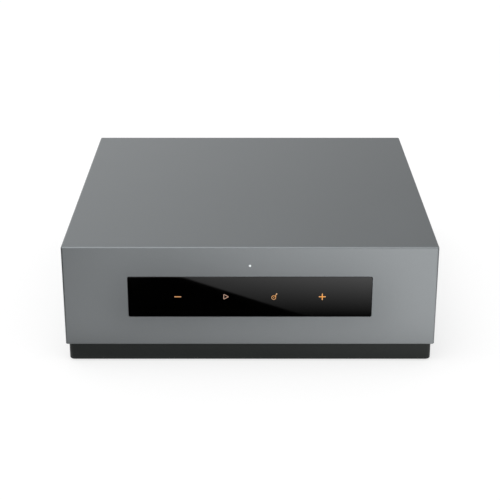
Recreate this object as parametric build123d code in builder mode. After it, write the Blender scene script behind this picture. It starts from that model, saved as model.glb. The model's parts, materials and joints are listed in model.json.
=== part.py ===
from build123d import *
import math
import os

os.makedirs("parts", exist_ok=True)

# Compact streaming amplifier: a square aluminium shell over a dark plinth, a touch strip of black
# glass in front, and a recessed connector panel behind with screw terminals for two loudspeakers.
# Millimetres. X runs to the right seen from the front, Y to the rear, Z up. The origin lies on the
# floor, under the middle of the square shell.
# Points on the rear panel are (u, z), with u running to the right for somebody facing the rear.

# Driving dimensions of the case
body_side = 190.0
total_height = 63.5
shell_height = 53.8
corner_radius = 1.0
top_edge_radius = 0.8
bottom_edge_chamfer = 0.3
side_wall = 2.5
roof_wall = 3.0
inner_corner_radius = 1.0
fit_gap = 0.2

# Plinth and feet
base_inset = 1.3
base_corner_radius = 2.8
base_edge_radius = 0.4
foot_proud = 0.5
foot_radius = 9.0
foot_recess = 0.6
foot_spacing = (140.0, 144.0)
foot_points = [(0.0, 0.0)] + [
    (x * foot_spacing[0] / 2, y * foot_spacing[1] / 2) for x in (-1, 1) for y in (-1, 1)
]
tray_floor_thickness = 2.4
lip_height = 3.3
lip_wall = 1.8
vent_length = 42.0
vent_width = 2.6
vent_pitch = (7.0, 66.0)
vent_count = (9, 2)

# Front glass, its pocket, and the light behind it
glass_width = 124.0
glass_height = 22.0
glass_thickness = 1.1
glass_corner = 0.8
glass_z = 36.4
glass_margin = 0.15
glass_set_back = 0.05
glass_bevel = 0.15
tape_thickness = 0.25
tape_width = 3.0
window_size = (116.0, 15.0)
window_corner = 1.5
icon_pitch = 24.5
icon_count = 4
light_well = 9.0
mask_back_size = (118.0, 19.0)
mask_back_depth = 4.5
status_light_z = 53.4
status_light_radius = 0.6
status_flange_radius = 1.5
led_height = 0.8

# Touch board behind the front wall
touch_board_size = (132.0, 30.0)
touch_board_z = 42.4
touch_board_thickness = 1.2
touch_screw_spacing = (124.0, 24.5)
touch_boss_radius = 2.5

# Screws that close the case, driven from below
case_screw_x = 86.5
case_screw_rows = (-84.0, 52.0)
case_boss_radius = 4.0
case_post_radius = 4.6
case_seat_z = 7.8
case_screw_length = 16.0
screw_radius = 1.5
screw_head_radius = 2.75
screw_head_height = 1.9
screw_hole_radius = 1.6
screw_drive_radius = 1.15
screw_drive_depth = 1.1

# Circuit boards
board_bottom = 22.4
board_thickness = 1.6
main_board_x = (-82.0, 22.0)
main_board_y = (-50.0, 91.0)
power_board_x = (27.0, 82.0)
power_board_y = (-78.0, 73.0)
main_board_screws = ((-78.0, -44.0), (-44.0, -45.0), (-77.0, 38.0), (-38.0, 62.0), (14.0, 72.0))
power_board_screws = ((32.0, -73.0), (77.0, -73.0), (77.0, 26.0), (54.0, 66.0))
standoff_radius = 3.2
board_screw_length = 8.0

# Connector panel and the window it shows through
panel_thickness = 1.2
panel_width = 179.0
panel_top = 59.5
panel_bottom = 13.3
panel_flange_depth = 12.3
panel_flange_width = 150.0
panel_bend_radius = 0.6
panel_post_x = 40.0
panel_post_radius = 3.5
rear_window_size = (172.0, 41.0)
rear_window_z = 35.5
rear_window_corner = 3.0
panel_lug_points = ((-78.0, 52.0), (20.0, 52.0), (78.0, 52.0))
panel_lug_size = (9.0, 9.0)
panel_lug_depth = 9.0

# Loudspeaker terminals, four binding posts on the spacing of a twin banana plug
terminal_centre = (-39.0, 35.2)
terminal_pitch = 19.05
terminal_plate_side = 37.0
terminal_plate_corner = 4.0
terminal_plate_thickness = 2.5
terminal_boss_radius = 5.4
terminal_boss_depth = 6.5
terminal_screw_rise = 13.5
post_radius = 3.0
post_seat_radius = 5.5
post_seat_height = 2.0
post_tail = 13.5
banana_radius = 2.02
banana_depth = 17.5
wire_hole_radius = 1.3
wire_hole_rise = 1.6
thread_clearance = 0.05
washer_radius = 5.7
washer_thickness = 1.0
cap_radius = 6.5
cap_length = 14.0
cap_collar_length = 2.0
cap_nose_length = 1.6
cap_nose_radius = 5.9
cap_teeth = 28
cap_tooth_depth = 0.55
cap_mouth_radius = 3.4
nut_radius = 4.7
nut_length = 9.5
back_nut_radius = 5.0
back_nut_thickness = 3.0

# Phono sockets: a stacked pair for line in, and a single one for a subwoofer
line_in_u = -10.5
line_in_z = (31.0, 45.0)
sub_out_point = (3.5, 31.0)
phono_flange_radius = 4.7
phono_flange_proud = 0.9
phono_barrel_radius = 4.15
phono_barrel_bore = 3.5
phono_barrel_length = 9.0
phono_core_radius = 3.48
phono_pin_radius = 1.65
phono_core_set_back = 1.2
phono_housing_width = 11.0
phono_housing_depth = 12.0
phono_screw_z = 38.0
phono_screw_radius = 1.1
phono_screw_head = 2.2

# Digital sockets, all standing on the main board
socket_face_proud = 0.6
optical_u = 17.0
optical_size = (9.8, 10.0)
optical_depth = 15.7
optical_mouth = (6.2, 6.2)
optical_mouth_z = 28.6
optical_mouth_chamfer = 1.2
optical_lip = 0.9
optical_chamber = (6.7, 7.8)
optical_chamber_z = 29.2
shutter_size = (6.2, 6.7)
shutter_thickness = 0.7
shutter_pivot_z = 32.45
shutter_pivot_radius = 0.4
shutter_pivot_reach = 0.7
shutter_set_back = 2.6
reset_point = (27.0, 28.2)
reset_radius = 1.5
reset_length = 5.6
reset_collar_radius = 2.1
reset_travel = 0.3
reset_switch_size = (6.2, 6.4)
hdmi_u = 39.5
hdmi_size = (15.0, 6.0)
hdmi_chamfer = 1.7
hdmi_depth = 12.0
hdmi_tongue = (11.9, 1.6)
usb_u = 56.0
usb_size = (13.2, 5.8)
usb_depth = 13.6
usb_tongue = (11.2, 1.85)
usb_tongue_rise = 1.1
sheet_metal = 0.35
tongue_set_back = 0.9
network_u = 73.0
network_size = (16.0, 13.5)
network_depth = 16.5
network_plug = (11.8, 7.0)
network_plug_rise = 5.4
network_latch = ((6.4, 1.7), (3.4, 1.3))
network_plug_depth = 13.0
network_contact_count = 8
network_contact_pitch = 1.02
network_contact_width = 0.42

# Mains inlet for a figure-of-eight lead
mains_point = (-71.0, 35.2)
mains_flange = (25.0, 16.0)
mains_flange_thickness = 2.0
mains_body = (20.6, 12.0)
mains_body_depth = 15.0
mains_cavity_depth = 13.0
mains_pin_spacing = 8.6
mains_lobe_radius = 3.9
mains_waist = 6.2
mains_pin_radius = 1.2
mains_pin_set_back = 2.5
mains_tail = 5.0

# Derived levels
half_side = body_side / 2
front_face = -half_side
rear_face = half_side
shell_bottom = total_height - shell_height
ceiling = total_height - roof_wall
inner_side = body_side - 2 * side_wall
base_side = body_side - 2 * base_inset
lip_side = inner_side - 2 * fit_gap
lip_top = shell_bottom + lip_height
tray_floor = foot_proud + tray_floor_thickness
board_top = board_bottom + board_thickness
panel_outer = rear_face - side_wall
panel_inner = panel_outer - panel_thickness
socket_face = panel_outer + socket_face_proud
glass_front = front_face + glass_set_back
glass_back = glass_front + glass_thickness
pocket_floor = glass_back + tape_thickness
front_wall_inner = front_face + side_wall
touch_board_front = front_wall_inner + mask_back_depth
touch_board_back = touch_board_front + touch_board_thickness
case_screw_points = [(x, y) for x in (-case_screw_x, case_screw_x) for y in case_screw_rows]
panel_post_y = panel_inner - panel_flange_depth / 2
line_in_points = [(line_in_u, z) for z in line_in_z]
phono_points = [*line_in_points, sub_out_point]
terminal_plate_face = panel_outer + terminal_plate_thickness
terminal_names = {
    "right_negative": (-1, -1),
    "right_positive": (-1, 1),
    "left_negative": (1, -1),
    "left_positive": (1, 1),
}
terminal_points = [
    (terminal_centre[0] + column * terminal_pitch / 2, terminal_centre[1] + row * terminal_pitch / 2)
    for column, row in terminal_names.values()
]
terminal_screw_points = [
    (terminal_centre[0], terminal_centre[1] + side * terminal_screw_rise) for side in (-1, 1)
]
post_seat = terminal_plate_face + post_seat_height
cap_seat = post_seat + washer_thickness
cap_front = cap_seat + cap_length
post_front = cap_front - 0.5


def rear_plane(y):
    """Plane facing the rear at depth y, with local x along u and local y up."""
    return Plane(origin=(0, y, 0), x_dir=(-1, 0, 0), z_dir=(0, 1, 0))


def front_plane(y):
    """Plane facing the front at depth y, with local x along X and local y up."""
    return Plane(origin=(0, y, 0), x_dir=(1, 0, 0), z_dir=(0, -1, 0))


def screw_group(seats, shank_length, radius=screw_radius, head_radius=screw_head_radius):
    """Pan-head screws in one part: seats is a list of (seat plane, points on it)."""
    with BuildPart() as group:
        for seat, points in seats:
            with BuildSketch(seat):
                with Locations(*points):
                    Circle(head_radius)
            extrude(amount=screw_head_height)
            with BuildSketch(seat):
                with Locations(*points):
                    Circle(radius)
            extrude(amount=-shank_length)
            with BuildSketch(seat.offset(screw_head_height)):
                with Locations(*points):
                    RegularPolygon(screw_drive_radius, 6)
            extrude(amount=-screw_drive_depth, mode=Mode.SUBTRACT)
    return group.part


# Top shell, milled from one block of aluminium and open below
with BuildPart() as top_shell:
    with BuildSketch(Plane.XY.offset(shell_bottom)):
        RectangleRounded(body_side, body_side, corner_radius)
    extrude(amount=shell_height)
    fillet(top_shell.edges().group_by(Axis.Z)[-1], top_edge_radius)
    chamfer(top_shell.edges().group_by(Axis.Z)[0], bottom_edge_chamfer)
    with BuildSketch(Plane.XY.offset(shell_bottom)):
        RectangleRounded(inner_side, inner_side, inner_corner_radius)
    extrude(amount=shell_height - roof_wall, mode=Mode.SUBTRACT)
    # Bosses that hang from the roof and take the case screws
    with BuildSketch(Plane.XY.offset(lip_top)):
        with Locations(*case_screw_points):
            Circle(case_boss_radius)
    extrude(amount=ceiling - lip_top)
    with BuildSketch(Plane.XY.offset(lip_top)):
        with Locations(*case_screw_points):
            Circle(screw_radius)
    extrude(amount=case_screw_length, mode=Mode.SUBTRACT)
    # Lugs behind the top of the connector panel
    with BuildSketch(rear_plane(panel_inner)):
        for u, z in panel_lug_points:
            with Locations((u, (z - panel_lug_size[1] / 2 + ceiling) / 2)):
                Rectangle(panel_lug_size[0], ceiling - z + panel_lug_size[1] / 2)
    extrude(amount=-panel_lug_depth)
    with BuildSketch(rear_plane(panel_inner)):
        with Locations(*panel_lug_points):
            Circle(screw_radius)
    extrude(amount=-board_screw_length, mode=Mode.SUBTRACT)
    # Raised land that the heatsink presses its pad against
    with BuildSketch(Plane.XY.offset(ceiling)):
        with Locations((-10, 16)):
            RectangleRounded(46, 42, 2)
    extrude(amount=-1.0)
    # Stubs that carry the touch board on the front wall
    with BuildSketch(front_plane(front_wall_inner)):
        with Locations((0, touch_board_z)):
            with GridLocations(*touch_screw_spacing, 2, 2):
                Circle(touch_boss_radius)
    extrude(amount=-mask_back_depth)
    with BuildSketch(front_plane(touch_board_front)):
        with Locations((0, touch_board_z)):
            with GridLocations(*touch_screw_spacing, 2, 2):
                Circle(1.0)
    extrude(amount=mask_back_depth, mode=Mode.SUBTRACT)
    # Pocket and window for the glass, hole for the status light
    with BuildSketch(front_plane(front_face)):
        with Locations((0, glass_z)):
            RectangleRounded(
                glass_width + 2 * glass_margin,
                glass_height + 2 * glass_margin,
                glass_corner + glass_margin,
            )
    extrude(amount=front_face - pocket_floor, mode=Mode.SUBTRACT)
    with BuildSketch(front_plane(front_face)):
        with Locations((0, glass_z)):
            RectangleRounded(*window_size, window_corner)
        with Locations((0, status_light_z)):
            Circle(status_light_radius + thread_clearance)
    extrude(amount=-side_wall, mode=Mode.SUBTRACT)
    # Window for the connector panel
    with BuildSketch(rear_plane(rear_face)):
        with Locations((0, rear_window_z)):
            RectangleRounded(*rear_window_size, rear_window_corner)
    extrude(amount=-side_wall, mode=Mode.SUBTRACT)
top_shell.part.label = "top_shell"
export_step(top_shell.part, "parts/top_shell.step")

# Touch glass, flush in its pocket, with a fine polished bevel
with BuildPart() as front_glass:
    with BuildSketch(front_plane(glass_back)):
        with Locations((0, glass_z)):
            RectangleRounded(glass_width, glass_height, glass_corner)
    extrude(amount=glass_thickness)
    chamfer(front_glass.faces().sort_by(Axis.Y)[0].edges(), glass_bevel)
front_glass.part.label = "front_glass"
export_step(front_glass.part, "parts/front_glass.step")

# Adhesive frame that holds the glass on the ledge of its pocket
with BuildPart() as glass_tape:
    with BuildSketch(front_plane(pocket_floor)):
        with Locations((0, glass_z)):
            RectangleRounded(glass_width - 0.6, glass_height - 0.6, glass_corner)
            Rectangle(
                glass_width - 2 * tape_width,
                glass_height - 2 * tape_width,
                mode=Mode.SUBTRACT,
            )
    extrude(amount=tape_thickness)
glass_tape.part.label = "glass_tape"
export_step(glass_tape.part, "parts/glass_tape.step")

# Light mask: one tapering well behind each symbol, so that light cannot leak sideways
with BuildPart() as icon_light_mask:
    with BuildSketch(front_plane(front_wall_inner)):
        with Locations((0, glass_z)):
            RectangleRounded(
                window_size[0] - 2 * fit_gap, window_size[1] - 2 * fit_gap, window_corner
            )
    extrude(amount=front_wall_inner - pocket_floor)
    with BuildSketch(front_plane(front_wall_inner)):
        with Locations((0, glass_z)):
            RectangleRounded(*mask_back_size, window_corner)
    extrude(amount=-mask_back_depth)
    with BuildSketch(front_plane(touch_board_front)):
        with Locations((0, glass_z)):
            with GridLocations(icon_pitch, 1, icon_count, 1):
                RectangleRounded(light_well + 3, light_well + 3, 1)
    extrude(amount=touch_board_front - pocket_floor, taper=14, mode=Mode.SUBTRACT)
icon_light_mask.part.label = "icon_light_mask"
export_step(icon_light_mask.part, "parts/icon_light_mask.step")

# Touch board with its lamps towards the glass and its ribbon socket towards the inside
with BuildPart() as touch_board:
    with BuildSketch(front_plane(touch_board_back)):
        with Locations((0, touch_board_z)):
            RectangleRounded(*touch_board_size, 1)
            with GridLocations(*touch_screw_spacing, 2, 2):
                Circle(1.2, mode=Mode.SUBTRACT)
    extrude(amount=touch_board_thickness)
    with BuildSketch(front_plane(touch_board_front)):
        with Locations((0, glass_z)):
            with GridLocations(icon_pitch, 1, icon_count, 1):
                Rectangle(3.2, 2.8)
        with Locations((0, status_light_z)):
            Rectangle(2.0, 1.6)
    extrude(amount=led_height)
    with BuildSketch(front_plane(touch_board_back)):
        with Locations((-30, 31)):
            Rectangle(15, 3)
        with Locations((0, 44), (22, 44)):
            Rectangle(5, 5)
    extrude(amount=-2.0)
touch_board.part.label = "touch_board"
export_step(touch_board.part, "parts/touch_board.step")

touch_board_screws = screw_group(
    [
        (
            rear_plane(touch_board_back),
            [
                (u * touch_screw_spacing[0] / 2, touch_board_z + v * touch_screw_spacing[1] / 2)
                for u in (-1, 1)
                for v in (-1, 1)
            ],
        )
    ],
    shank_length=4.5,
    radius=0.98,
    head_radius=1.9,
)
touch_board_screws.label = "touch_board_screws"
export_step(touch_board_screws, "parts/touch_board_screws.step")

# Clear pipe that carries the status lamp's light through the front wall
with BuildPart() as status_light_pipe:
    with BuildSketch(front_plane(front_wall_inner)):
        with Locations((0, status_light_z)):
            Circle(status_light_radius)
    extrude(amount=side_wall - glass_set_back)
    with BuildSketch(front_plane(front_wall_inner)):
        with Locations((0, status_light_z)):
            Circle(status_flange_radius)
    extrude(amount=-(mask_back_depth - led_height))
status_light_pipe.part.label = "status_light_pipe"
export_step(status_light_pipe.part, "parts/status_light_pipe.step")

# Flat ribbon from the touch board to the main board
ribbon_x = -30.0
ribbon_start = (ribbon_x, touch_board_back + 2.0, 31.0)
ribbon_end = (ribbon_x, main_board_y[0] + 1.0, board_top + 1.3)
with BuildPart() as touch_ribbon:
    with BuildLine() as ribbon_path:
        FilletPolyline(
            ribbon_start,
            (ribbon_x, ribbon_start[1] + 7, ribbon_start[2]),
            (ribbon_x, ribbon_start[1] + 15, ribbon_end[2]),
            ribbon_end,
            radius=4,
        )
    with BuildSketch(Plane(origin=ribbon_start, x_dir=(1, 0, 0), z_dir=(0, 1, 0))):
        Rectangle(12, 0.3)
    sweep()
touch_ribbon.part.label = "touch_ribbon"
export_step(touch_ribbon.part, "parts/touch_ribbon.step")

# Base tray: the dark plinth, whose lip locates the shell and whose pillars carry the boards
board_screw_points = [*main_board_screws, *power_board_screws]
panel_post_points = [(-panel_post_x, panel_post_y), (panel_post_x, panel_post_y)]
with BuildPart() as base_tray:
    with BuildSketch(Plane.XY.offset(foot_proud)):
        RectangleRounded(base_side, base_side, base_corner_radius)
    extrude(amount=shell_bottom - foot_proud)
    fillet(base_tray.edges().group_by(Axis.Z)[0], base_edge_radius)
    with BuildSketch(Plane.XY.offset(shell_bottom)):
        RectangleRounded(lip_side, lip_side, inner_corner_radius)
    extrude(amount=lip_height)
    with BuildSketch(Plane.XY.offset(tray_floor)):
        RectangleRounded(lip_side - 2 * lip_wall, lip_side - 2 * lip_wall, inner_corner_radius)
    extrude(amount=lip_top - tray_floor, mode=Mode.SUBTRACT)
    # Pillars for the shell, the boards and the connector panel
    with BuildSketch(Plane.XY.offset(tray_floor)):
        with Locations(*case_screw_points):
            Circle(case_post_radius)
    extrude(amount=lip_top - tray_floor)
    with BuildSketch(Plane.XY.offset(tray_floor)):
        with Locations(*board_screw_points):
            Circle(standoff_radius)
    extrude(amount=board_bottom - tray_floor)
    with BuildSketch(Plane.XY.offset(tray_floor)):
        with Locations(*panel_post_points):
            Circle(panel_post_radius)
    extrude(amount=panel_bottom - tray_floor)
    with Locations(*[(x, y, board_bottom) for x, y in board_screw_points]):
        Hole(screw_radius, depth=board_screw_length)
    with Locations(*[(x, y, panel_bottom) for x, y in panel_post_points]):
        Hole(screw_radius, depth=board_screw_length)
    with Locations(*[Location((x, y, foot_proud), (180, 0, 0)) for x, y in case_screw_points]):
        CounterBoreHole(
            screw_hole_radius,
            screw_head_radius + 2 * fit_gap,
            case_seat_z - foot_proud,
            depth=lip_top - foot_proud,
        )
    # Vents and foot recesses in the underside
    with BuildSketch(Plane.XY.offset(foot_proud)):
        with GridLocations(*vent_pitch, *vent_count):
            SlotOverall(vent_length, vent_width, rotation=90)
    extrude(amount=tray_floor_thickness, mode=Mode.SUBTRACT)
    with BuildSketch(Plane.XY.offset(foot_proud)):
        with Locations(*foot_points):
            Circle(foot_radius + fit_gap)
    extrude(amount=foot_recess, mode=Mode.SUBTRACT)
base_tray.part.label = "base_tray"
export_step(base_tray.part, "parts/base_tray.step")

# Rubber feet, bonded into the recesses: four near the corners and one under the middle
with BuildPart() as rubber_feet:
    with BuildSketch():
        with Locations(*foot_points):
            Circle(foot_radius)
    extrude(amount=foot_proud + foot_recess)
    chamfer(rubber_feet.edges().group_by(Axis.Z)[0], 0.3)
rubber_feet.part.label = "rubber_feet"
export_step(rubber_feet.part, "parts/rubber_feet.step")

case_seat = Plane(origin=(0, 0, case_seat_z), x_dir=(1, 0, 0), z_dir=(0, 0, -1))
case_screws = screw_group(
    [(case_seat, [(x, -y) for x, y in case_screw_points])],
    shank_length=case_screw_length,
    radius=screw_radius - 0.02,
)
case_screws.label = "case_screws"
export_step(case_screws, "parts/case_screws.step")

# Connector panel, folded from steel sheet, with a foot flange screwed to the tray
with BuildPart() as rear_panel:
    with BuildSketch(Plane.YZ) as panel_section:
        with Locations((panel_outer, panel_bottom)):
            Rectangle(panel_thickness, panel_top - panel_bottom, align=(Align.MAX, Align.MIN))
            Rectangle(
                panel_flange_depth + panel_thickness,
                panel_thickness,
                align=(Align.MAX, Align.MIN),
            )
        outer_bend = panel_section.vertices().group_by(Axis.X)[-1].sort_by(Axis.Y)[0]
        fillet(outer_bend, panel_bend_radius + panel_thickness)
    extrude(amount=panel_width / 2, both=True)
    with BuildSketch(Plane.XY.offset(panel_bottom)):
        for side in (-1, 1):
            with Locations((side * panel_width / 2, panel_inner)):
                Rectangle(
                    panel_width - panel_flange_width,
                    2 * panel_flange_depth,
                )
    extrude(amount=panel_thickness, mode=Mode.SUBTRACT)
    with BuildSketch(rear_plane(panel_outer)):
        with Locations(mains_point):
            SlotOverall(mains_body[0] + 2 * fit_gap, mains_body[1] + 2 * fit_gap)
        with Locations(*terminal_points):
            Circle(terminal_boss_radius + fit_gap)
        with Locations(*terminal_screw_points):
            Circle(screw_radius)
        with Locations(*phono_points):
            Circle(phono_flange_radius + fit_gap)
        with Locations((optical_u, board_top + optical_size[1] / 2)):
            Rectangle(optical_size[0] + 2 * fit_gap, optical_size[1] + 2 * fit_gap)
        with Locations((hdmi_u, board_top + hdmi_size[1] / 2)):
            Rectangle(hdmi_size[0] + 2 * fit_gap, hdmi_size[1] + 2 * fit_gap)
        with Locations((usb_u, board_top + usb_size[1] / 2)):
            Rectangle(usb_size[0] + 2 * fit_gap, usb_size[1] + 2 * fit_gap)
        with Locations((network_u, board_top + network_size[1] / 2)):
            Rectangle(network_size[0] + 2 * fit_gap, network_size[1] + 2 * fit_gap)
        with Locations(reset_point):
            Circle(reset_radius + fit_gap)
        with Locations(*panel_lug_points):
            Circle(screw_hole_radius)
        with Locations((line_in_u, phono_screw_z), (sub_out_point[0], phono_screw_z)):
            Circle(phono_screw_radius + 0.1)
    extrude(amount=-panel_thickness, mode=Mode.SUBTRACT)
    with Locations(*[(x, y, panel_bottom + panel_thickness) for x, y in panel_post_points]):
        Hole(screw_hole_radius, depth=panel_thickness)
rear_panel.part.label = "rear_panel"
export_step(rear_panel.part, "parts/rear_panel.step")

rear_panel_screws = screw_group(
    [
        (rear_plane(panel_outer), panel_lug_points),
        (rear_plane(terminal_plate_face), terminal_screw_points),
    ],
    shank_length=board_screw_length,
    radius=screw_radius - 0.02,
)
rear_panel_screws.label = "rear_panel_screws"
export_step(rear_panel_screws, "parts/rear_panel_screws.step")

# Mains inlet: a snap-in shroud round two bare pins
with BuildPart() as mains_inlet_housing:
    with BuildSketch(rear_plane(panel_outer)):
        with Locations(mains_point):
            RectangleRounded(*mains_flange, 3)
    extrude(amount=mains_flange_thickness)
    fillet(mains_inlet_housing.faces().sort_by(Axis.Y)[-1].edges(), 0.5)
    with BuildSketch(rear_plane(panel_outer)):
        with Locations(mains_point):
            SlotOverall(*mains_body)
    extrude(amount=-mains_body_depth)
    # Barbs that spring out behind the panel
    with BuildSketch(Plane.XY.offset(mains_point[1] - 2)):
        for side in (-1, 1):
            with BuildLine():
                barb = -mains_point[0] + side * mains_body[0] / 2
                Polyline(
                    (barb - side, panel_inner - 0.1),
                    (barb + side * 1.3, panel_inner - 0.1),
                    (barb, panel_inner - 5),
                    (barb - side, panel_inner - 5),
                    close=True,
                )
            make_face()
    extrude(amount=4)
    with BuildSketch(rear_plane(panel_outer + mains_flange_thickness)):
        with Locations(mains_point):
            Rectangle(mains_pin_spacing, mains_waist)
            with GridLocations(mains_pin_spacing, 1, 2, 1):
                Circle(mains_lobe_radius)
    extrude(amount=-mains_cavity_depth, mode=Mode.SUBTRACT)
    with BuildSketch(rear_plane(panel_outer - mains_body_depth)):
        with Locations(mains_point):
            with GridLocations(mains_pin_spacing, 1, 2, 1):
                Circle(mains_pin_radius)
    extrude(amount=mains_body_depth, mode=Mode.SUBTRACT)
mains_inlet_housing.part.label = "mains_inlet_housing"
export_step(mains_inlet_housing.part, "parts/mains_inlet_housing.step")

mains_pin_tip = panel_outer + mains_flange_thickness - mains_pin_set_back
with BuildPart() as mains_inlet_pins:
    with BuildSketch(rear_plane(mains_pin_tip)):
        with Locations(mains_point):
            with GridLocations(mains_pin_spacing, 1, 2, 1):
                Circle(mains_pin_radius)
    extrude(amount=panel_outer - mains_body_depth - mains_pin_tip)
    fillet(mains_inlet_pins.edges().group_by(Axis.Y)[-1], 0.5)
    with BuildSketch(rear_plane(panel_outer - mains_body_depth)):
        with Locations(mains_point):
            with GridLocations(mains_pin_spacing, 1, 2, 1):
                Rectangle(1.6, 0.8)
    extrude(amount=-mains_tail)
mains_inlet_pins.part.label = "mains_inlet_pins"
export_step(mains_inlet_pins.part, "parts/mains_inlet_pins.step")

# Terminal block: one moulding that insulates all four binding posts from the panel
with BuildPart() as terminal_block:
    with BuildSketch(rear_plane(panel_outer)):
        with Locations(terminal_centre):
            RectangleRounded(terminal_plate_side, terminal_plate_side, terminal_plate_corner)
    extrude(amount=terminal_plate_thickness)
    chamfer(terminal_block.faces().sort_by(Axis.Y)[-1].edges(), 0.5)
    with BuildSketch(rear_plane(panel_outer)):
        with Locations(*terminal_points):
            Circle(terminal_boss_radius)
    extrude(amount=-terminal_boss_depth)
    with BuildSketch(rear_plane(terminal_plate_face)):
        with Locations(*terminal_screw_points):
            Circle(screw_hole_radius)
        with Locations(*terminal_points):
            Circle(post_radius)
    extrude(amount=-(terminal_plate_thickness + terminal_boss_depth), mode=Mode.SUBTRACT)
terminal_block.part.label = "terminal_block"
export_step(terminal_block.part, "parts/terminal_block.step")

# Four metal posts, each with its seat, a banana bore down the middle and a cross hole for wire
block_back = panel_outer - terminal_boss_depth
post_back = terminal_plate_face - post_tail
with BuildPart() as terminal_posts:
    for u, z in terminal_points:
        with BuildSketch(Plane(origin=(-u, 0, z), x_dir=(1, 0, 0), z_dir=(0, 0, 1))):
            with BuildLine():
                Polyline(
                    (0, post_back),
                    (post_radius, post_back),
                    (post_radius, terminal_plate_face),
                    (post_seat_radius, terminal_plate_face),
                    (post_seat_radius, post_seat - 0.3),
                    (post_seat_radius - 0.3, post_seat),
                    (post_radius, post_seat),
                    (post_radius, post_front - 0.3),
                    (post_radius - 0.3, post_front),
                    (banana_radius + 0.3, post_front),
                    (banana_radius, post_front - 0.3),
                    (banana_radius, post_front - banana_depth),
                    (0, post_front - banana_depth - 1),
                    close=True,
                )
            make_face()
        revolve(axis=Axis((-u, 0, z), (0, 1, 0)))
        with BuildSketch(Plane.XY.offset(z - post_radius)):
            with Locations((-u, post_seat + wire_hole_rise + wire_hole_radius)):
                Circle(wire_hole_radius)
        extrude(amount=2 * post_radius, mode=Mode.SUBTRACT)
terminal_posts.part.label = "terminal_posts"
export_step(terminal_posts.part, "parts/terminal_posts.step")

with BuildPart() as terminal_back_nuts:
    with BuildSketch(rear_plane(block_back)):
        with Locations(*terminal_points):
            RegularPolygon(back_nut_radius, 6)
            Circle(post_radius + 0.02, mode=Mode.SUBTRACT)
    extrude(amount=-back_nut_thickness)
terminal_back_nuts.part.label = "terminal_back_nuts"
export_step(terminal_back_nuts.part, "parts/terminal_back_nuts.step")

# Screw caps. Each is a knurled sleeve moulded over a brass nut, and carries a loose washer
for name, (axis_u, axis_z) in zip(terminal_names, terminal_points):

    def across(y, u=axis_u, z=axis_z):
        """Plane square to one terminal's axis, at depth y."""
        return Plane(origin=(-u, y, z), x_dir=(-1, 0, 0), z_dir=(0, 1, 0))

    with BuildPart() as terminal_washer:
        with BuildSketch(across(post_seat)):
            Circle(washer_radius)
            Circle(post_radius + 2 * thread_clearance, mode=Mode.SUBTRACT)
        extrude(amount=washer_thickness)
    terminal_washer.part.label = f"terminal_washer_{name}"
    export_step(terminal_washer.part, f"parts/terminal_washer_{name}.step")

    with BuildPart() as terminal_cap:
        with BuildSketch(across(cap_seat)):
            Circle(cap_radius)
        extrude(amount=cap_collar_length)
        # The knurl is a ring of V grooves, so its outline is a star of tips and roots
        knurl = [cap_radius - cap_tooth_depth * (i % 2) for i in range(2 * cap_teeth)]
        turn = math.pi / cap_teeth
        with BuildSketch(across(cap_seat + cap_collar_length)):
            with BuildLine():
                star = [(r * math.cos(i * turn), r * math.sin(i * turn)) for i, r in enumerate(knurl)]
                Polyline(*star, close=True)
            make_face()
        extrude(amount=cap_length - cap_collar_length - cap_nose_length)
        with BuildSketch(across(cap_front - cap_nose_length)):
            Circle(cap_nose_radius)
        extrude(amount=cap_nose_length)
        fillet(terminal_cap.faces().sort_by(Axis.Y)[-1].edges(), 0.6)
        with Locations(across(cap_front)):
            CounterSinkHole(cap_mouth_radius, cap_mouth_radius + 0.8, depth=cap_length)
        with BuildSketch(across(cap_seat)):
            Circle(nut_radius)
        extrude(amount=nut_length, mode=Mode.SUBTRACT)
    terminal_cap.part.label = f"terminal_cap_{name}"
    export_step(terminal_cap.part, f"parts/terminal_cap_{name}.step")

    with BuildPart() as terminal_nut:
        with BuildSketch(across(cap_seat)):
            Circle(nut_radius)
            Circle(post_radius + thread_clearance, mode=Mode.SUBTRACT)
        extrude(amount=nut_length)
    terminal_nut.part.label = f"terminal_nut_{name}"
    export_step(terminal_nut.part, f"parts/terminal_nut_{name}.step")

# Phono sockets: coloured insulator, plated barrel pressed over it, and the housing behind
insulator_names = {
    "line_in_insulator_right": line_in_points[0],
    "line_in_insulator_left": line_in_points[1],
    "sub_out_insulator": sub_out_point,
}
barrel_seat = panel_outer + phono_flange_proud
core_front = barrel_seat + phono_barrel_length - phono_core_set_back
for name, point in insulator_names.items():
    with BuildPart() as phono_insulator:
        with BuildSketch(rear_plane(panel_inner)):
            with Locations(point):
                Circle(phono_flange_radius)
        extrude(amount=barrel_seat - panel_inner)
        with BuildSketch(rear_plane(barrel_seat)):
            with Locations(point):
                Circle(phono_core_radius)
        extrude(amount=core_front - barrel_seat)
        with BuildSketch(rear_plane(core_front)):
            with Locations(point):
                Circle(phono_pin_radius)
        extrude(amount=-(core_front - panel_inner), mode=Mode.SUBTRACT)
    phono_insulator.part.label = name
    export_step(phono_insulator.part, f"parts/{name}.step")

with BuildPart() as phono_barrels:
    with BuildSketch(rear_plane(barrel_seat)):
        with Locations(*phono_points):
            Circle(phono_barrel_radius)
            Circle(phono_barrel_bore, mode=Mode.SUBTRACT)
    extrude(amount=phono_barrel_length)
    chamfer(
        phono_barrels.faces().sort_by(Axis.Y)[-3:].edges().group_by(SortBy.LENGTH)[-1],
        0.25,
    )
phono_barrels.part.label = "phono_barrels"
export_step(phono_barrels.part, "parts/phono_barrels.step")

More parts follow.
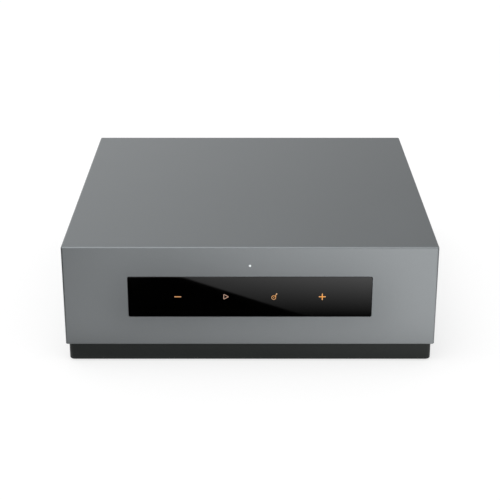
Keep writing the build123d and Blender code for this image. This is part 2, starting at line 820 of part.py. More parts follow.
line_in_top = line_in_z[1] + 7
sub_out_top = phono_screw_z + 3.5
with BuildPart() as phono_housings:
    with BuildSketch(rear_plane(panel_inner)):
        with Locations((line_in_u, (board_top + line_in_top) / 2)):
            Rectangle(phono_housing_width, line_in_top - board_top)
        with Locations((sub_out_point[0], (board_top + sub_out_top) / 2)):
            Rectangle(phono_housing_width, sub_out_top - board_top)
    extrude(amount=-phono_housing_depth)
    fillet(phono_housings.edges().filter_by(Axis.Y).group_by(Axis.Z)[-1], 1.0)
    with BuildSketch(rear_plane(panel_inner)):
        with Locations((line_in_u, phono_screw_z), (sub_out_point[0], phono_screw_z)):
            Circle(phono_screw_radius)
    extrude(amount=-6.0, mode=Mode.SUBTRACT)
phono_housings.part.label = "phono_housings"
export_step(phono_housings.part, "parts/phono_housings.step")

phono_screws = screw_group(
    [(rear_plane(panel_outer), [(line_in_u, phono_screw_z), (sub_out_point[0], phono_screw_z)])],
    shank_length=6.5,
    radius=phono_screw_radius - 0.02,
    head_radius=phono_screw_head,
)
phono_screws.label = "phono_screws"
export_step(phono_screws, "parts/phono_screws.step")

# Optical socket with a sprung shutter that the plug pushes in and up
chamber_front = socket_face - optical_lip
shutter_front = chamber_front - shutter_set_back
shutter_pivot_y = shutter_front - shutter_thickness / 2
with BuildPart() as optical_housing:
    with BuildSketch(rear_plane(socket_face)):
        with Locations((optical_u, board_top + optical_size[1] / 2)):
            RectangleRounded(*optical_size, 0.5)
    extrude(amount=-optical_depth)
    with BuildSketch(rear_plane(chamber_front)):
        with Locations((optical_u, optical_chamber_z)):
            Rectangle(*optical_chamber)
    extrude(amount=-(optical_depth - optical_lip - 2.5), mode=Mode.SUBTRACT)
    with BuildSketch(rear_plane(socket_face)) as mouth:
        with Locations((optical_u, optical_mouth_z)):
            Rectangle(*optical_mouth)
        chamfer(mouth.vertices().group_by(Axis.Y)[-1], optical_mouth_chamfer)
    extrude(amount=-optical_lip, mode=Mode.SUBTRACT)
    with BuildSketch(Plane.YZ.offset(-optical_u)):
        with Locations((shutter_pivot_y, shutter_pivot_z)):
            Circle(shutter_pivot_radius + thread_clearance)
    extrude(amount=shutter_size[0] / 2 + shutter_pivot_reach + 0.1, both=True, mode=Mode.SUBTRACT)
optical_housing.part.label = "optical_housing"
export_step(optical_housing.part, "parts/optical_housing.step")

with BuildPart() as optical_shutter:
    with BuildSketch(rear_plane(shutter_front)):
        with Locations((optical_u, shutter_pivot_z)):
            Rectangle(*shutter_size, align=(Align.CENTER, Align.MAX))
    extrude(amount=-shutter_thickness)
    with BuildSketch(Plane.YZ.offset(-optical_u)):
        with Locations((shutter_pivot_y, shutter_pivot_z)):
            Circle(shutter_thickness / 2)
    extrude(amount=shutter_size[0] / 2, both=True)
    with BuildSketch(Plane.YZ.offset(-optical_u)):
        with Locations((shutter_pivot_y, shutter_pivot_z)):
            Circle(shutter_pivot_radius)
    extrude(amount=shutter_size[0] / 2 + shutter_pivot_reach, both=True)
optical_shutter.part.label = "optical_shutter"
export_step(optical_shutter.part, "parts/optical_shutter.step")

# Reset button: a small plunger in a switch that lies on the board
reset_x = -reset_point[0]
switch_front = panel_inner - 1.0
plunger_front = panel_outer + socket_face_proud
plunger_back = plunger_front - reset_length
with BuildPart() as reset_switch:
    with BuildSketch(Plane.XY.offset(board_top)):
        with Locations((reset_x, switch_front)):
            Rectangle(*reset_switch_size, align=(Align.CENTER, Align.MAX))
    extrude(amount=2 * (reset_point[1] - board_top))
    with BuildSketch(rear_plane(switch_front)):
        with Locations(reset_point):
            Circle(reset_radius + 0.1)
    extrude(amount=plunger_back - reset_travel - 0.1 - switch_front, mode=Mode.SUBTRACT)
    with BuildSketch(rear_plane(switch_front - 0.6)):
        with Locations(reset_point):
            Circle(reset_collar_radius + 0.1)
    extrude(
        amount=plunger_back - reset_travel - 0.1 - switch_front + 0.6,
        mode=Mode.SUBTRACT,
    )
reset_switch.part.label = "reset_switch"
export_step(reset_switch.part, "parts/reset_switch.step")

with BuildPart() as reset_button:
    with BuildSketch(rear_plane(plunger_back)):
        with Locations(reset_point):
            Circle(reset_radius)
    extrude(amount=reset_length)
    fillet(reset_button.faces().sort_by(Axis.Y)[-1].edges(), 0.3)
    with BuildSketch(rear_plane(plunger_back)):
        with Locations(reset_point):
            Circle(reset_collar_radius)
    extrude(amount=switch_front - 0.7 - plunger_back)
reset_button.part.label = "reset_button"
export_step(reset_button.part, "parts/reset_button.step")

# Video socket: a folded metal sleeve whose lower corners are cut off, round a flat tongue
hdmi_centre = (hdmi_u, board_top + hdmi_size[1] / 2)
with BuildPart() as hdmi_shell:
    with BuildSketch(rear_plane(socket_face)) as hdmi_outline:
        with Locations(hdmi_centre):
            Rectangle(*hdmi_size)
        chamfer(hdmi_outline.vertices().group_by(Axis.Y)[0], hdmi_chamfer)
        offset(amount=-sheet_metal, mode=Mode.SUBTRACT)
    extrude(amount=-hdmi_depth)
hdmi_shell.part.label = "hdmi_shell"
export_step(hdmi_shell.part, "parts/hdmi_shell.step")

with BuildPart() as hdmi_insert:
    with BuildSketch(rear_plane(socket_face - hdmi_depth)) as hdmi_fill:
        with Locations(hdmi_centre):
            Rectangle(*hdmi_size)
        chamfer(hdmi_fill.vertices().group_by(Axis.Y)[0], hdmi_chamfer)
        offset(amount=-sheet_metal - 0.02, mode=Mode.REPLACE)
    extrude(amount=3.5)
    with BuildSketch(rear_plane(socket_face - hdmi_depth + 3.5)):
        with Locations(hdmi_centre):
            Rectangle(*hdmi_tongue)
    extrude(amount=hdmi_depth - 3.5 - tongue_set_back)
hdmi_insert.part.label = "hdmi_insert"
export_step(hdmi_insert.part, "parts/hdmi_insert.step")

# Service socket for a memory stick
usb_centre = (usb_u, board_top + usb_size[1] / 2)
with BuildPart() as usb_shell:
    with BuildSketch(rear_plane(socket_face)):
        with Locations(usb_centre):
            RectangleRounded(*usb_size, 0.6)
            RectangleRounded(
                usb_size[0] - 2 * sheet_metal,
                usb_size[1] - 2 * sheet_metal,
                0.25,
                mode=Mode.SUBTRACT,
            )
    extrude(amount=-usb_depth)
usb_shell.part.label = "usb_shell"
export_step(usb_shell.part, "parts/usb_shell.step")

with BuildPart() as usb_insert:
    with BuildSketch(rear_plane(socket_face - usb_depth)):
        with Locations(usb_centre):
            RectangleRounded(
                usb_size[0] - 2 * sheet_metal - 0.04, usb_size[1] - 2 * sheet_metal - 0.04, 0.25
            )
    extrude(amount=4.0)
    with BuildSketch(rear_plane(socket_face - usb_depth + 4.0)):
        with Locations((usb_centre[0], usb_centre[1] + usb_tongue_rise)):
            Rectangle(*usb_tongue)
    extrude(amount=usb_depth - 4.0 - tongue_set_back)
usb_insert.part.label = "usb_insert"
export_step(usb_insert.part, "parts/usb_insert.step")

# Network socket: shield, moulded insert with a stepped latch slot, and eight sprung contacts
network_centre = (network_u, board_top + network_size[1] / 2)
plug_top = board_top + network_plug_rise + network_plug[1]
with BuildPart() as network_shield:
    with BuildSketch(rear_plane(socket_face)):
        with Locations(network_centre):
            Rectangle(*network_size)
            Rectangle(
                network_size[0] - 2 * sheet_metal,
                network_size[1] - 2 * sheet_metal,
                mode=Mode.SUBTRACT,
            )
    extrude(amount=-network_depth)
network_shield.part.label = "network_shield"
export_step(network_shield.part, "parts/network_shield.step")

with BuildPart() as network_insert:
    with BuildSketch(rear_plane(socket_face - 0.3)):
        with Locations(network_centre):
            Rectangle(
                network_size[0] - 2 * sheet_metal - 0.04, network_size[1] - 2 * sheet_metal - 0.04
            )
    extrude(amount=-(network_depth - 0.3))
    with BuildSketch(rear_plane(socket_face - 0.3)):
        with Locations((network_u, plug_top)):
            Rectangle(*network_plug, align=(Align.CENTER, Align.MAX))
        with Locations((network_u, plug_top - network_plug[1])):
            Rectangle(*network_latch[0], align=(Align.CENTER, Align.MAX))
        with Locations((network_u, plug_top - network_plug[1] - network_latch[0][1])):
            Rectangle(*network_latch[1], align=(Align.CENTER, Align.MAX))
    extrude(amount=-network_plug_depth, mode=Mode.SUBTRACT)
network_insert.part.label = "network_insert"
export_step(network_insert.part, "parts/network_insert.step")

plug_back = socket_face - 0.3 - network_plug_depth
with BuildPart() as network_contacts:
    for i in range(network_contact_count):
        contact_x = -network_u + (i - (network_contact_count - 1) / 2) * network_contact_pitch
        with BuildSketch(Plane.YZ.offset(contact_x - network_contact_width / 2)):
            with BuildLine():
                Polyline(
                    (plug_back, plug_top - 2.3),
                    (plug_back + 1.5, plug_top - 2.3),
                    (plug_back + 9.5, plug_top - 0.4),
                    (plug_back + 9.5, plug_top),
                    (plug_back + 9.0, plug_top),
                    (plug_back + 1.4, plug_top - 1.9),
                    (plug_back, plug_top - 1.9),
                    close=True,
                )
            make_face()
        extrude(amount=network_contact_width)
network_contacts.part.label = "network_contacts"
export_step(network_contacts.part, "parts/network_contacts.step")

# Main board with the chips and small parts that are soldered to it
main_board_size = (main_board_x[1] - main_board_x[0], main_board_y[1] - main_board_y[0])
main_board_centre = (sum(main_board_x) / 2, sum(main_board_y) / 2)
amplifier_point = (-10.0, 16.0)
speaker_plug = (16.0, 40.0)
supply_plug = (17.5, 16.0)
mains_plug = (71.0, 62.0)
plug_size = (7.0, 16.0)
plug_height = 9.0
module_point = (-62.0, -38.0)
module_size = (22.0, 14.0)
with BuildPart() as main_board:
    with BuildSketch(Plane.XY.offset(board_bottom)):
        with Locations(main_board_centre):
            RectangleRounded(*main_board_size, 1.5)
        with Locations(*main_board_screws):
            Circle(screw_hole_radius, mode=Mode.SUBTRACT)
    extrude(amount=board_thickness)
    with BuildSketch(Plane.XY.offset(board_top)):
        with Locations((ribbon_x, main_board_y[0] + 3.5)):
            Rectangle(15, 5)
    extrude(amount=2.6)
    with BuildSketch(Plane.XY.offset(board_top)):
        with Locations(amplifier_point):
            Rectangle(14, 8)
        with Locations((-62, 8)):
            Rectangle(14, 14)
        with Locations((-62, 26), (-44, 30)):
            Rectangle(9, 12)
        with Locations((-60, 52), (-20, -30), (0, -30)):
            Rectangle(7, 7)
    extrude(amount=1.2)
    with BuildSketch(Plane.XY.offset(board_top)):
        with Locations((-70, 62), (-56, 66), (-46, 48), (-10, -38), (10, -38)):
            Circle(3.15)
    extrude(amount=7)
    with BuildSketch(Plane.XY.offset(board_top)):
        with Locations(speaker_plug, supply_plug):
            Rectangle(*plug_size)
    extrude(amount=plug_height)
main_board.part.label = "main_board"
export_step(main_board.part, "parts/main_board.step")

# Power board with its filter choke, fuse, rectifier plate and connectors
power_board_size = (power_board_x[1] - power_board_x[0], power_board_y[1] - power_board_y[0])
power_board_centre = (sum(power_board_x) / 2, sum(power_board_y) / 2)
with BuildPart() as power_board:
    with BuildSketch(Plane.XY.offset(board_bottom)):
        with Locations(power_board_centre):
            RectangleRounded(*power_board_size, 1.5)
        with Locations(*power_board_screws):
            Circle(screw_hole_radius, mode=Mode.SUBTRACT)
    extrude(amount=board_thickness)
    with BuildSketch(Plane.XY.offset(board_top)):
        with Locations((70, 44)):
            RectangleRounded(20, 16, 1)
    extrude(amount=18)
    with BuildSketch(Plane.XY.offset(board_top)):
        with Locations((48, 50)):
            Rectangle(8, 22)
        with Locations(mains_plug):
            Rectangle(14, 7)
        with Locations((31, supply_plug[1])):
            Rectangle(*plug_size)
    extrude(amount=plug_height)
    with BuildSketch(Plane.XY.offset(board_top)):
        with Locations((33, -20)):
            Rectangle(2, 40)
    extrude(amount=26)
power_board.part.label = "power_board"
export_step(power_board.part, "parts/power_board.step")

board_screws = screw_group(
    [
        (Plane.XY.offset(board_top), board_screw_points),
        (Plane.XY.offset(panel_bottom + panel_thickness), panel_post_points),
    ],
    shank_length=board_screw_length,
    radius=screw_radius - 0.02,
)
board_screws.label = "board_screws"
export_step(board_screws, "parts/board_screws.step")

# Heatsink over the amplifier chip: an extrusion with closed fins that reaches up to the roof
heatsink_size = (44.0, 40.0)
heatsink_bottom = board_top + 1.2
heatsink_top = ceiling - 2.0
fin_slots = 7
with BuildPart() as heatsink:
    with BuildSketch(Plane.XY.offset(heatsink_bottom)):
        with Locations(amplifier_point):
            Rectangle(*heatsink_size)
    extrude(amount=heatsink_top - heatsink_bottom)
    with BuildSketch(front_plane(amplifier_point[1] - heatsink_size[1] / 2)):
        with Locations((amplifier_point[0], (heatsink_bottom + heatsink_top) / 2 + 1)):
            with GridLocations(6, 1, fin_slots, 1):
                Rectangle(4, heatsink_top - heatsink_bottom - 8)
    extrude(amount=-heatsink_size[1], mode=Mode.SUBTRACT)
heatsink.part.label = "heatsink"
export_step(heatsink.part, "parts/heatsink.step")

with BuildPart() as thermal_pad:
    with BuildSketch(Plane.XY.offset(heatsink_top)):
        with Locations(amplifier_point):
            Rectangle(*heatsink_size)
    extrude(amount=1.0)
thermal_pad.part.label = "thermal_pad"
export_step(thermal_pad.part, "parts/thermal_pad.step")

# Output filter chokes, moulded blocks in a square group between the chip and the terminals
with BuildPart() as output_chokes:
    with BuildSketch(Plane.XY.offset(board_top)):
        with Locations((-12, 58)):
            with GridLocations(16, 15, 2, 2):
                RectangleRounded(13, 13, 2)
    extrude(amount=10)
    chamfer(output_chokes.edges().group_by(Axis.Z)[-1], 0.8)
output_chokes.part.label = "output_chokes"
export_step(output_chokes.part, "parts/output_chokes.step")

# Electrolytic capacitors, each a can with a crimped neck: (x, y, radius, height)
capacitor_cans = (
    (-52.0, -14.0, 8.0, 30.0),
    (-68.0, -14.0, 8.0, 30.0),
    (58.0, -52.0, 11.0, 32.0),
    (40.0, -50.0, 5.0, 20.0),
    (40.0, -62.0, 5.0, 20.0),
)
with BuildPart() as capacitors:
    for can_x, can_y, can_radius, can_height in capacitor_cans:
        with BuildSketch(Plane(origin=(can_x, can_y, board_top), x_dir=(1, 0, 0), z_dir=(0, -1, 0))):
            with BuildLine():
                Polyline(
                    (0, 0),
                    (can_radius - 0.5, 0),
                    (can_radius, 0.5),
                    (can_radius, 2.4),
                    (can_radius - 0.6, 3.0),
                    (can_radius, 3.6),
                    (can_radius, can_height - 0.6),
                    (can_radius - 0.6, can_height),
                    (0, can_height),
                    close=True,
                )
            make_face()
        revolve(axis=Axis((can_x, can_y, 0), (0, 0, 1)))
capacitors.part.label = "capacitors"
export_step(capacitors.part, "parts/capacitors.step")

# Switching transformer: a ferrite frame round a taped winding
with BuildPart() as power_transformer:
    with BuildSketch(Plane.XY.offset(board_top)):
        with Locations((62, 4)):
            RectangleRounded(26, 22, 3)
    extrude(amount=24)
    with BuildSketch(Plane.XY.offset(board_top + 4)):
        with Locations((62, 4)):
            Rectangle(32, 14)
    extrude(amount=22)
    chamfer(power_transformer.edges().group_by(Axis.Z)[-1], 0.6)
power_transformer.part.label = "power_transformer"
export_step(power_transformer.part, "parts/power_transformer.step")

# Screening can of the wireless module
with BuildPart() as wireless_module:
    with BuildSketch(Plane.XY.offset(board_top)):
        with Locations(module_point):
            RectangleRounded(*module_size, 0.8)
    extrude(amount=2.6)
    chamfer(wireless_module.edges().group_by(Axis.Z)[-1], 0.4)
wireless_module.part.label = "wireless_module"
export_step(wireless_module.part, "parts/wireless_module.step")

def lead(route, radius, bend):
    """One insulated wire of round section along straight runs joined by arcs."""
    with BuildPart() as wire:
        with BuildLine() as path:
            FilletPolyline(*route, radius=bend)
        with BuildSketch(Plane(origin=path.line @ 0, z_dir=path.line % 0)):
            Circle(radius)
        sweep()
    return wire.part


# Antenna strips stand in the plinth, below the metal shell that would screen them
antenna_x = 88.0
antenna_y = -36.0
strip_thickness = 0.8
lead_x = antenna_x - strip_thickness / 2
module_mid = board_top + 1.3
module_left = module_point[0] - module_size[0] / 2
module_near = module_point[1] - module_size[1] / 2
antenna_leads = [
    lead(
        [
            (module_left, module_point[1], module_mid),
            (-84.5, module_point[1], module_mid),
            (-84.5, module_point[1], 6.2),
            (-lead_x, module_point[1], 6.2),
        ],
        radius=0.5,
        bend=1.5,
    ),
    lead(
        [
            (module_point[0], module_near, module_mid),
            (module_point[0], -54, module_mid),
            (module_point[0], -54, 7),
            (lead_x, -54, 7),
        ],
        radius=0.5,
        bend=3,
    ),
]
with BuildPart() as antennas:
    with BuildSketch(Plane.XY.offset(tray_floor)):
        with Locations((-antenna_x, antenna_y), (antenna_x, antenna_y)):
            Rectangle(strip_thickness, 42)
    extrude(amount=6)
    add(antenna_leads)
antennas.part.label = "antennas"
export_step(antennas.part, "parts/antennas.step")

# Mains leads from the inlet's tails to their plug on the power board
inlet_back = panel_outer - mains_body_depth - mains_tail
mains_plug_back = mains_plug[1] + 3.5
mains_wires = [
    lead(
        [
            (pin_x, inlet_back, mains_point[1]),
            (pin_x, inlet_back - 3.5, mains_point[1]),
            (pin_x, inlet_back - 3.5, board_top + 5),
            (pin_x, mains_plug_back, board_top + 5),
        ],
        radius=1.0,
        bend=1.6,
    )
    for pin_x in (-mains_point[0] - mains_pin_spacing / 2, -mains_point[0] + mains_pin_spacing / 2)
]
with BuildPart() as mains_leads:
    add(mains_wires)
mains_leads.part.label = "mains_leads"
export_step(mains_leads.part, "parts/mains_leads.step")

# Loudspeaker leads from their plug on the main board to the tails of the posts
speaker_plug_back = speaker_plug[1] + plug_size[1] / 2
speaker_wires = []
for (column, row), (u, z) in zip(terminal_names.values(), terminal_points):
    start_x = speaker_plug[0] - 2 * column
    start_z = board_top + 5 + 2 * row
    speaker_wires.append(
        lead(
            [
                (start_x, speaker_plug_back, start_z),
                (start_x, speaker_plug_back + 6, start_z),
                (-u, post_back - 7, z),
                (-u, post_back, z),
            ],
            radius=0.9,
            bend=3,
        )
    )
with BuildPart() as speaker_leads:
    add(speaker_wires)
speaker_leads.part.label = "speaker_leads"
export_step(speaker_leads.part, "parts/speaker_leads.step")

# Supply leads, arched from the top of one plug over the gap between the boards to the other
supply_from = 31.0
supply_to = supply_plug[0]
supply_z = board_top + plug_height
supply_rise = (supply_from - supply_to) / 2
with BuildPart() as supply_leads:
    for supply_y in (supply_plug[1] - 4, supply_plug[1] + 4):
        with BuildLine():
            ThreePointArc(
                (supply_from, supply_y, supply_z),
                (supply_from - supply_rise, supply_y, supply_z + supply_rise),
                (supply_to, supply_y, supply_z),
            )
        with BuildSketch(Plane.XY.offset(supply_z)):
            with Locations((supply_from, supply_y)):
                Circle(0.9)
        sweep()
supply_leads.part.label = "supply_leads"
export_step(supply_leads.part, "parts/supply_leads.step")
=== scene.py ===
"""Looks of a compact streaming amplifier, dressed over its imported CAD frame.

A bead-blasted aluminium shell stands over a dark plinth, with a strip of black touch glass in front
and a recessed connector panel behind. Sizes in this file are millimetres in the frame's own axes,
+X right, +Y rear, +Z up, and they turn to metres only where a mesh or a pattern is made.
"""

from __future__ import annotations

import functools
import json
import logging
import math
from dataclasses import dataclass, field
from enum import Enum
from typing import Iterable

import bmesh
import bpy
import numpy as np
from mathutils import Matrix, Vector


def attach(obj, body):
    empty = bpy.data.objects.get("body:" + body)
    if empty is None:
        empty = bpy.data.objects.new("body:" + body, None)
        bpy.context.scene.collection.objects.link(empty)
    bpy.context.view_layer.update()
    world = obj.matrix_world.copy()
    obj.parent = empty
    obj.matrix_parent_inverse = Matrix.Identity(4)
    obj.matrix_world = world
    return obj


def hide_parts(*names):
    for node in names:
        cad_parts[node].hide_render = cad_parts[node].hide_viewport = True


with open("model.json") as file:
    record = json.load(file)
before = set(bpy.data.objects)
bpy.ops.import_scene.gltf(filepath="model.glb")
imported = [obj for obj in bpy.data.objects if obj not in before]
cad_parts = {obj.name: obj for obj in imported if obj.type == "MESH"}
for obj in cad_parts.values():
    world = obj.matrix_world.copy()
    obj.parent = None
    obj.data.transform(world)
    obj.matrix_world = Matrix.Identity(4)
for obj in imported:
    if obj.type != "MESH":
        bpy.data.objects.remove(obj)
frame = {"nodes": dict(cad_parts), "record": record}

MM = 0.001
WELD = 2e-7  # metres, under which two points are one
SHARP = 38.0  # degrees, over which an edge of a new piece stays sharp
Material = bpy.types.Material
Piece = bpy.types.Object
Socket = bpy.types.NodeSocket
Tree = bpy.types.NodeTree
Pair = tuple[float, float]
Triple = tuple[float, float, float]
report = logging.getLogger("amplifier")


# Colours, nodes and materials


def linear(colour: str) -> tuple[float, float, float, float]:
    """Turn an sRGB hex colour into the linear values that shaders take.

    Each channel c below 0.04045 is divided by 12.92, and any other becomes ((c + 0.055) / 1.055)^2.4.

    Args:
        colour: Six hex digits after a hash.

    Returns:
        Red, green, blue and an alpha of 1.
    """
    channels = np.frombuffer(bytes.fromhex(colour.lstrip("#")), np.uint8) / 255.0
    values = np.where(channels <= 0.04045, channels / 12.92, ((channels + 0.055) / 1.055) ** 2.4)
    return (*map(float, values), 1.0)


def add_node(
    tree: Tree, kind: str, inputs: dict[str | int, object] | None = None, **settings: object
) -> bpy.types.NodeOutputs:
    """Add a node with its settings, and give its inputs a value or a link.

    Args:
        tree: The node tree that gets it.
        kind: Blender's name for the kind of node, without ShaderNode in front.
        inputs: Value or output socket for each input, by name or number.
        settings: Attributes of the node itself.

    Returns:
        The node's outputs.
    """
    made = tree.nodes.new("ShaderNode" + kind)
    for name, value in settings.items():
        setattr(made, name, value)
    for key, value in (inputs or {}).items():
        if isinstance(value, Socket):
            tree.links.new(value, made.inputs[key])
        else:
            made.inputs[key].default_value = value
    return made.outputs


def blank_material(name: str) -> tuple[Material, Tree]:
    """Make a material whose node tree is empty.

    Args:
        name: The material's name.

    Returns:
        The material and its tree.
    """
    material = bpy.data.materials.new(name)
    material.use_nodes = True
    material.node_tree.nodes.clear()
    return material, material.node_tree


class Marks(Enum):
    """What the making of a surface leaves on it."""

    BLASTED = "pits of bead blasting under an anodic layer"
    ERODED = "grain of a spark-eroded mould"
    MOULDED = "faint flow marks of a polished mould"
    PEEL = "orange peel of a baked coating"
    TURNED = "rings left by turning about an axis along Y"
    ROLLED = "streaks along X left by rolling or brushing"
    EXTRUDED = "lines along Y left by an extrusion die"
    PRESSED = "grains of a pressed and sintered block"
    TRACES = "copper tracks that stand proud under solder mask"


STRETCH = {
    Marks.TURNED: (0.02, 1.0, 0.02),
    Marks.ROLLED: (0.03, 1.0, 1.0),
    Marks.EXTRUDED: (1.0, 0.02, 1.0),
}


@dataclass(frozen=True)
class Finish:
    """One material, with the marks of its making and a slow drift of colour and gloss.

    Sizes are millimetres: grain is the marks' width, relief their height, and patch the width of
    the slow drift between colour and tint, over which the roughness moves by uneven each way.
    The marks' lows are painted darker and their highs lighter by a share of the colour: painted shade and
    painted highlight of the relief, beside its bump.
    """

    name: str
    colour: str
    tint: str
    roughness: float
    marks: Marks
    grain: float
    relief: float
    metallic: float = 0.0
    patch: float = 25.0
    uneven: float = 0.03
    painted_relief_shade: float = 0.07
    specular: float = 0.5
    ior: float = 1.5

    def height(self, tree: Tree, place: Socket) -> Socket:
        """Add the nodes for the height of the marks.

        Args:
            tree: The material's tree.
            place: Object coordinates, in metres.

        Returns:
            The height, from 0 to 1.
        """
        grid = {"Vector": place, "Scale": 1.0 / (self.grain * MM)}
        if self.marks in (Marks.ERODED, Marks.PRESSED):
            cells = grid | {"Smoothness": 0.6}
            return add_node(tree, "TexVoronoi", cells, feature="SMOOTH_F1")[0]
        if self.marks is Marks.TRACES:
            cells = grid | {"Randomness": 0.55}
            tracks = add_node(tree, "TexVoronoi", cells, distance="CHEBYCHEV", feature="F1")
            steps = {"Value": tracks[0], "From Min": 0.36, "From Max": 0.40}
            return add_node(tree, "MapRange", steps)[0]
        grid |= {"Detail": 3.0 if self.marks is Marks.BLASTED else 0.0, "Roughness": 0.6}
        if self.marks in STRETCH:
            drawn = add_node(tree, "Mapping", {"Vector": place, "Scale": STRETCH[self.marks]})
            grid |= {"Vector": drawn[0], "Detail": 2.0, "Roughness": 0.5}
        return add_node(tree, "TexNoise", grid)[0]

    def material(self) -> Material:
        """Build the material, whose patterns all read Object coordinates.

        Returns:
            The material.
        """
        material, tree = blank_material(self.name)
        place = add_node(tree, "TexCoord")["Object"]
        clouds = {"Vector": place, "Scale": 1.0 / (self.patch * MM), "Detail": 2.0}
        drift = add_node(tree, "TexNoise", clouds)[0]
        height = self.height(tree, place)
        mixed = {0: drift, 6: linear(self.colour), 7: linear(self.tint)}
        even = add_node(tree, "Mix", mixed, data_type="RGBA")
        # Painted shade and highlight: the marks' height darkens the colour in their lows and lightens it on
        # their highs.
        depth = {"Value": height, "To Min": 1 - self.painted_relief_shade, "To Max": 1 + self.painted_relief_shade}
        level = add_node(tree, "MapRange", depth)
        painted_relief_inputs = {0: 1.0, 6: even[2], 7: level[0]}
        colour = add_node(tree, "Mix", painted_relief_inputs, data_type="RGBA", blend_type="MULTIPLY")
        gloss = {"Value": drift, "From Min": 0.3, "From Max": 0.7}
        gloss |= {"To Min": self.roughness - self.uneven, "To Max": self.roughness + self.uneven}
        roughness = add_node(tree, "MapRange", gloss)
        bump = {"Height": height, "Strength": 1.0, "Distance": self.relief * MM}
        relief = add_node(tree, "Bump", bump)
        shader = {
            "Base Color": colour[2],
            "Roughness": roughness[0],
            "Normal": relief[0],
            "Metallic": self.metallic,
        }
        if not self.metallic:
            shader |= {"IOR": self.ior, "Specular IOR Level": self.specular}
        surface = add_node(tree, "BsdfPrincipled", shader)
        add_node(tree, "OutputMaterial", {"Surface": surface[0]})
        return material


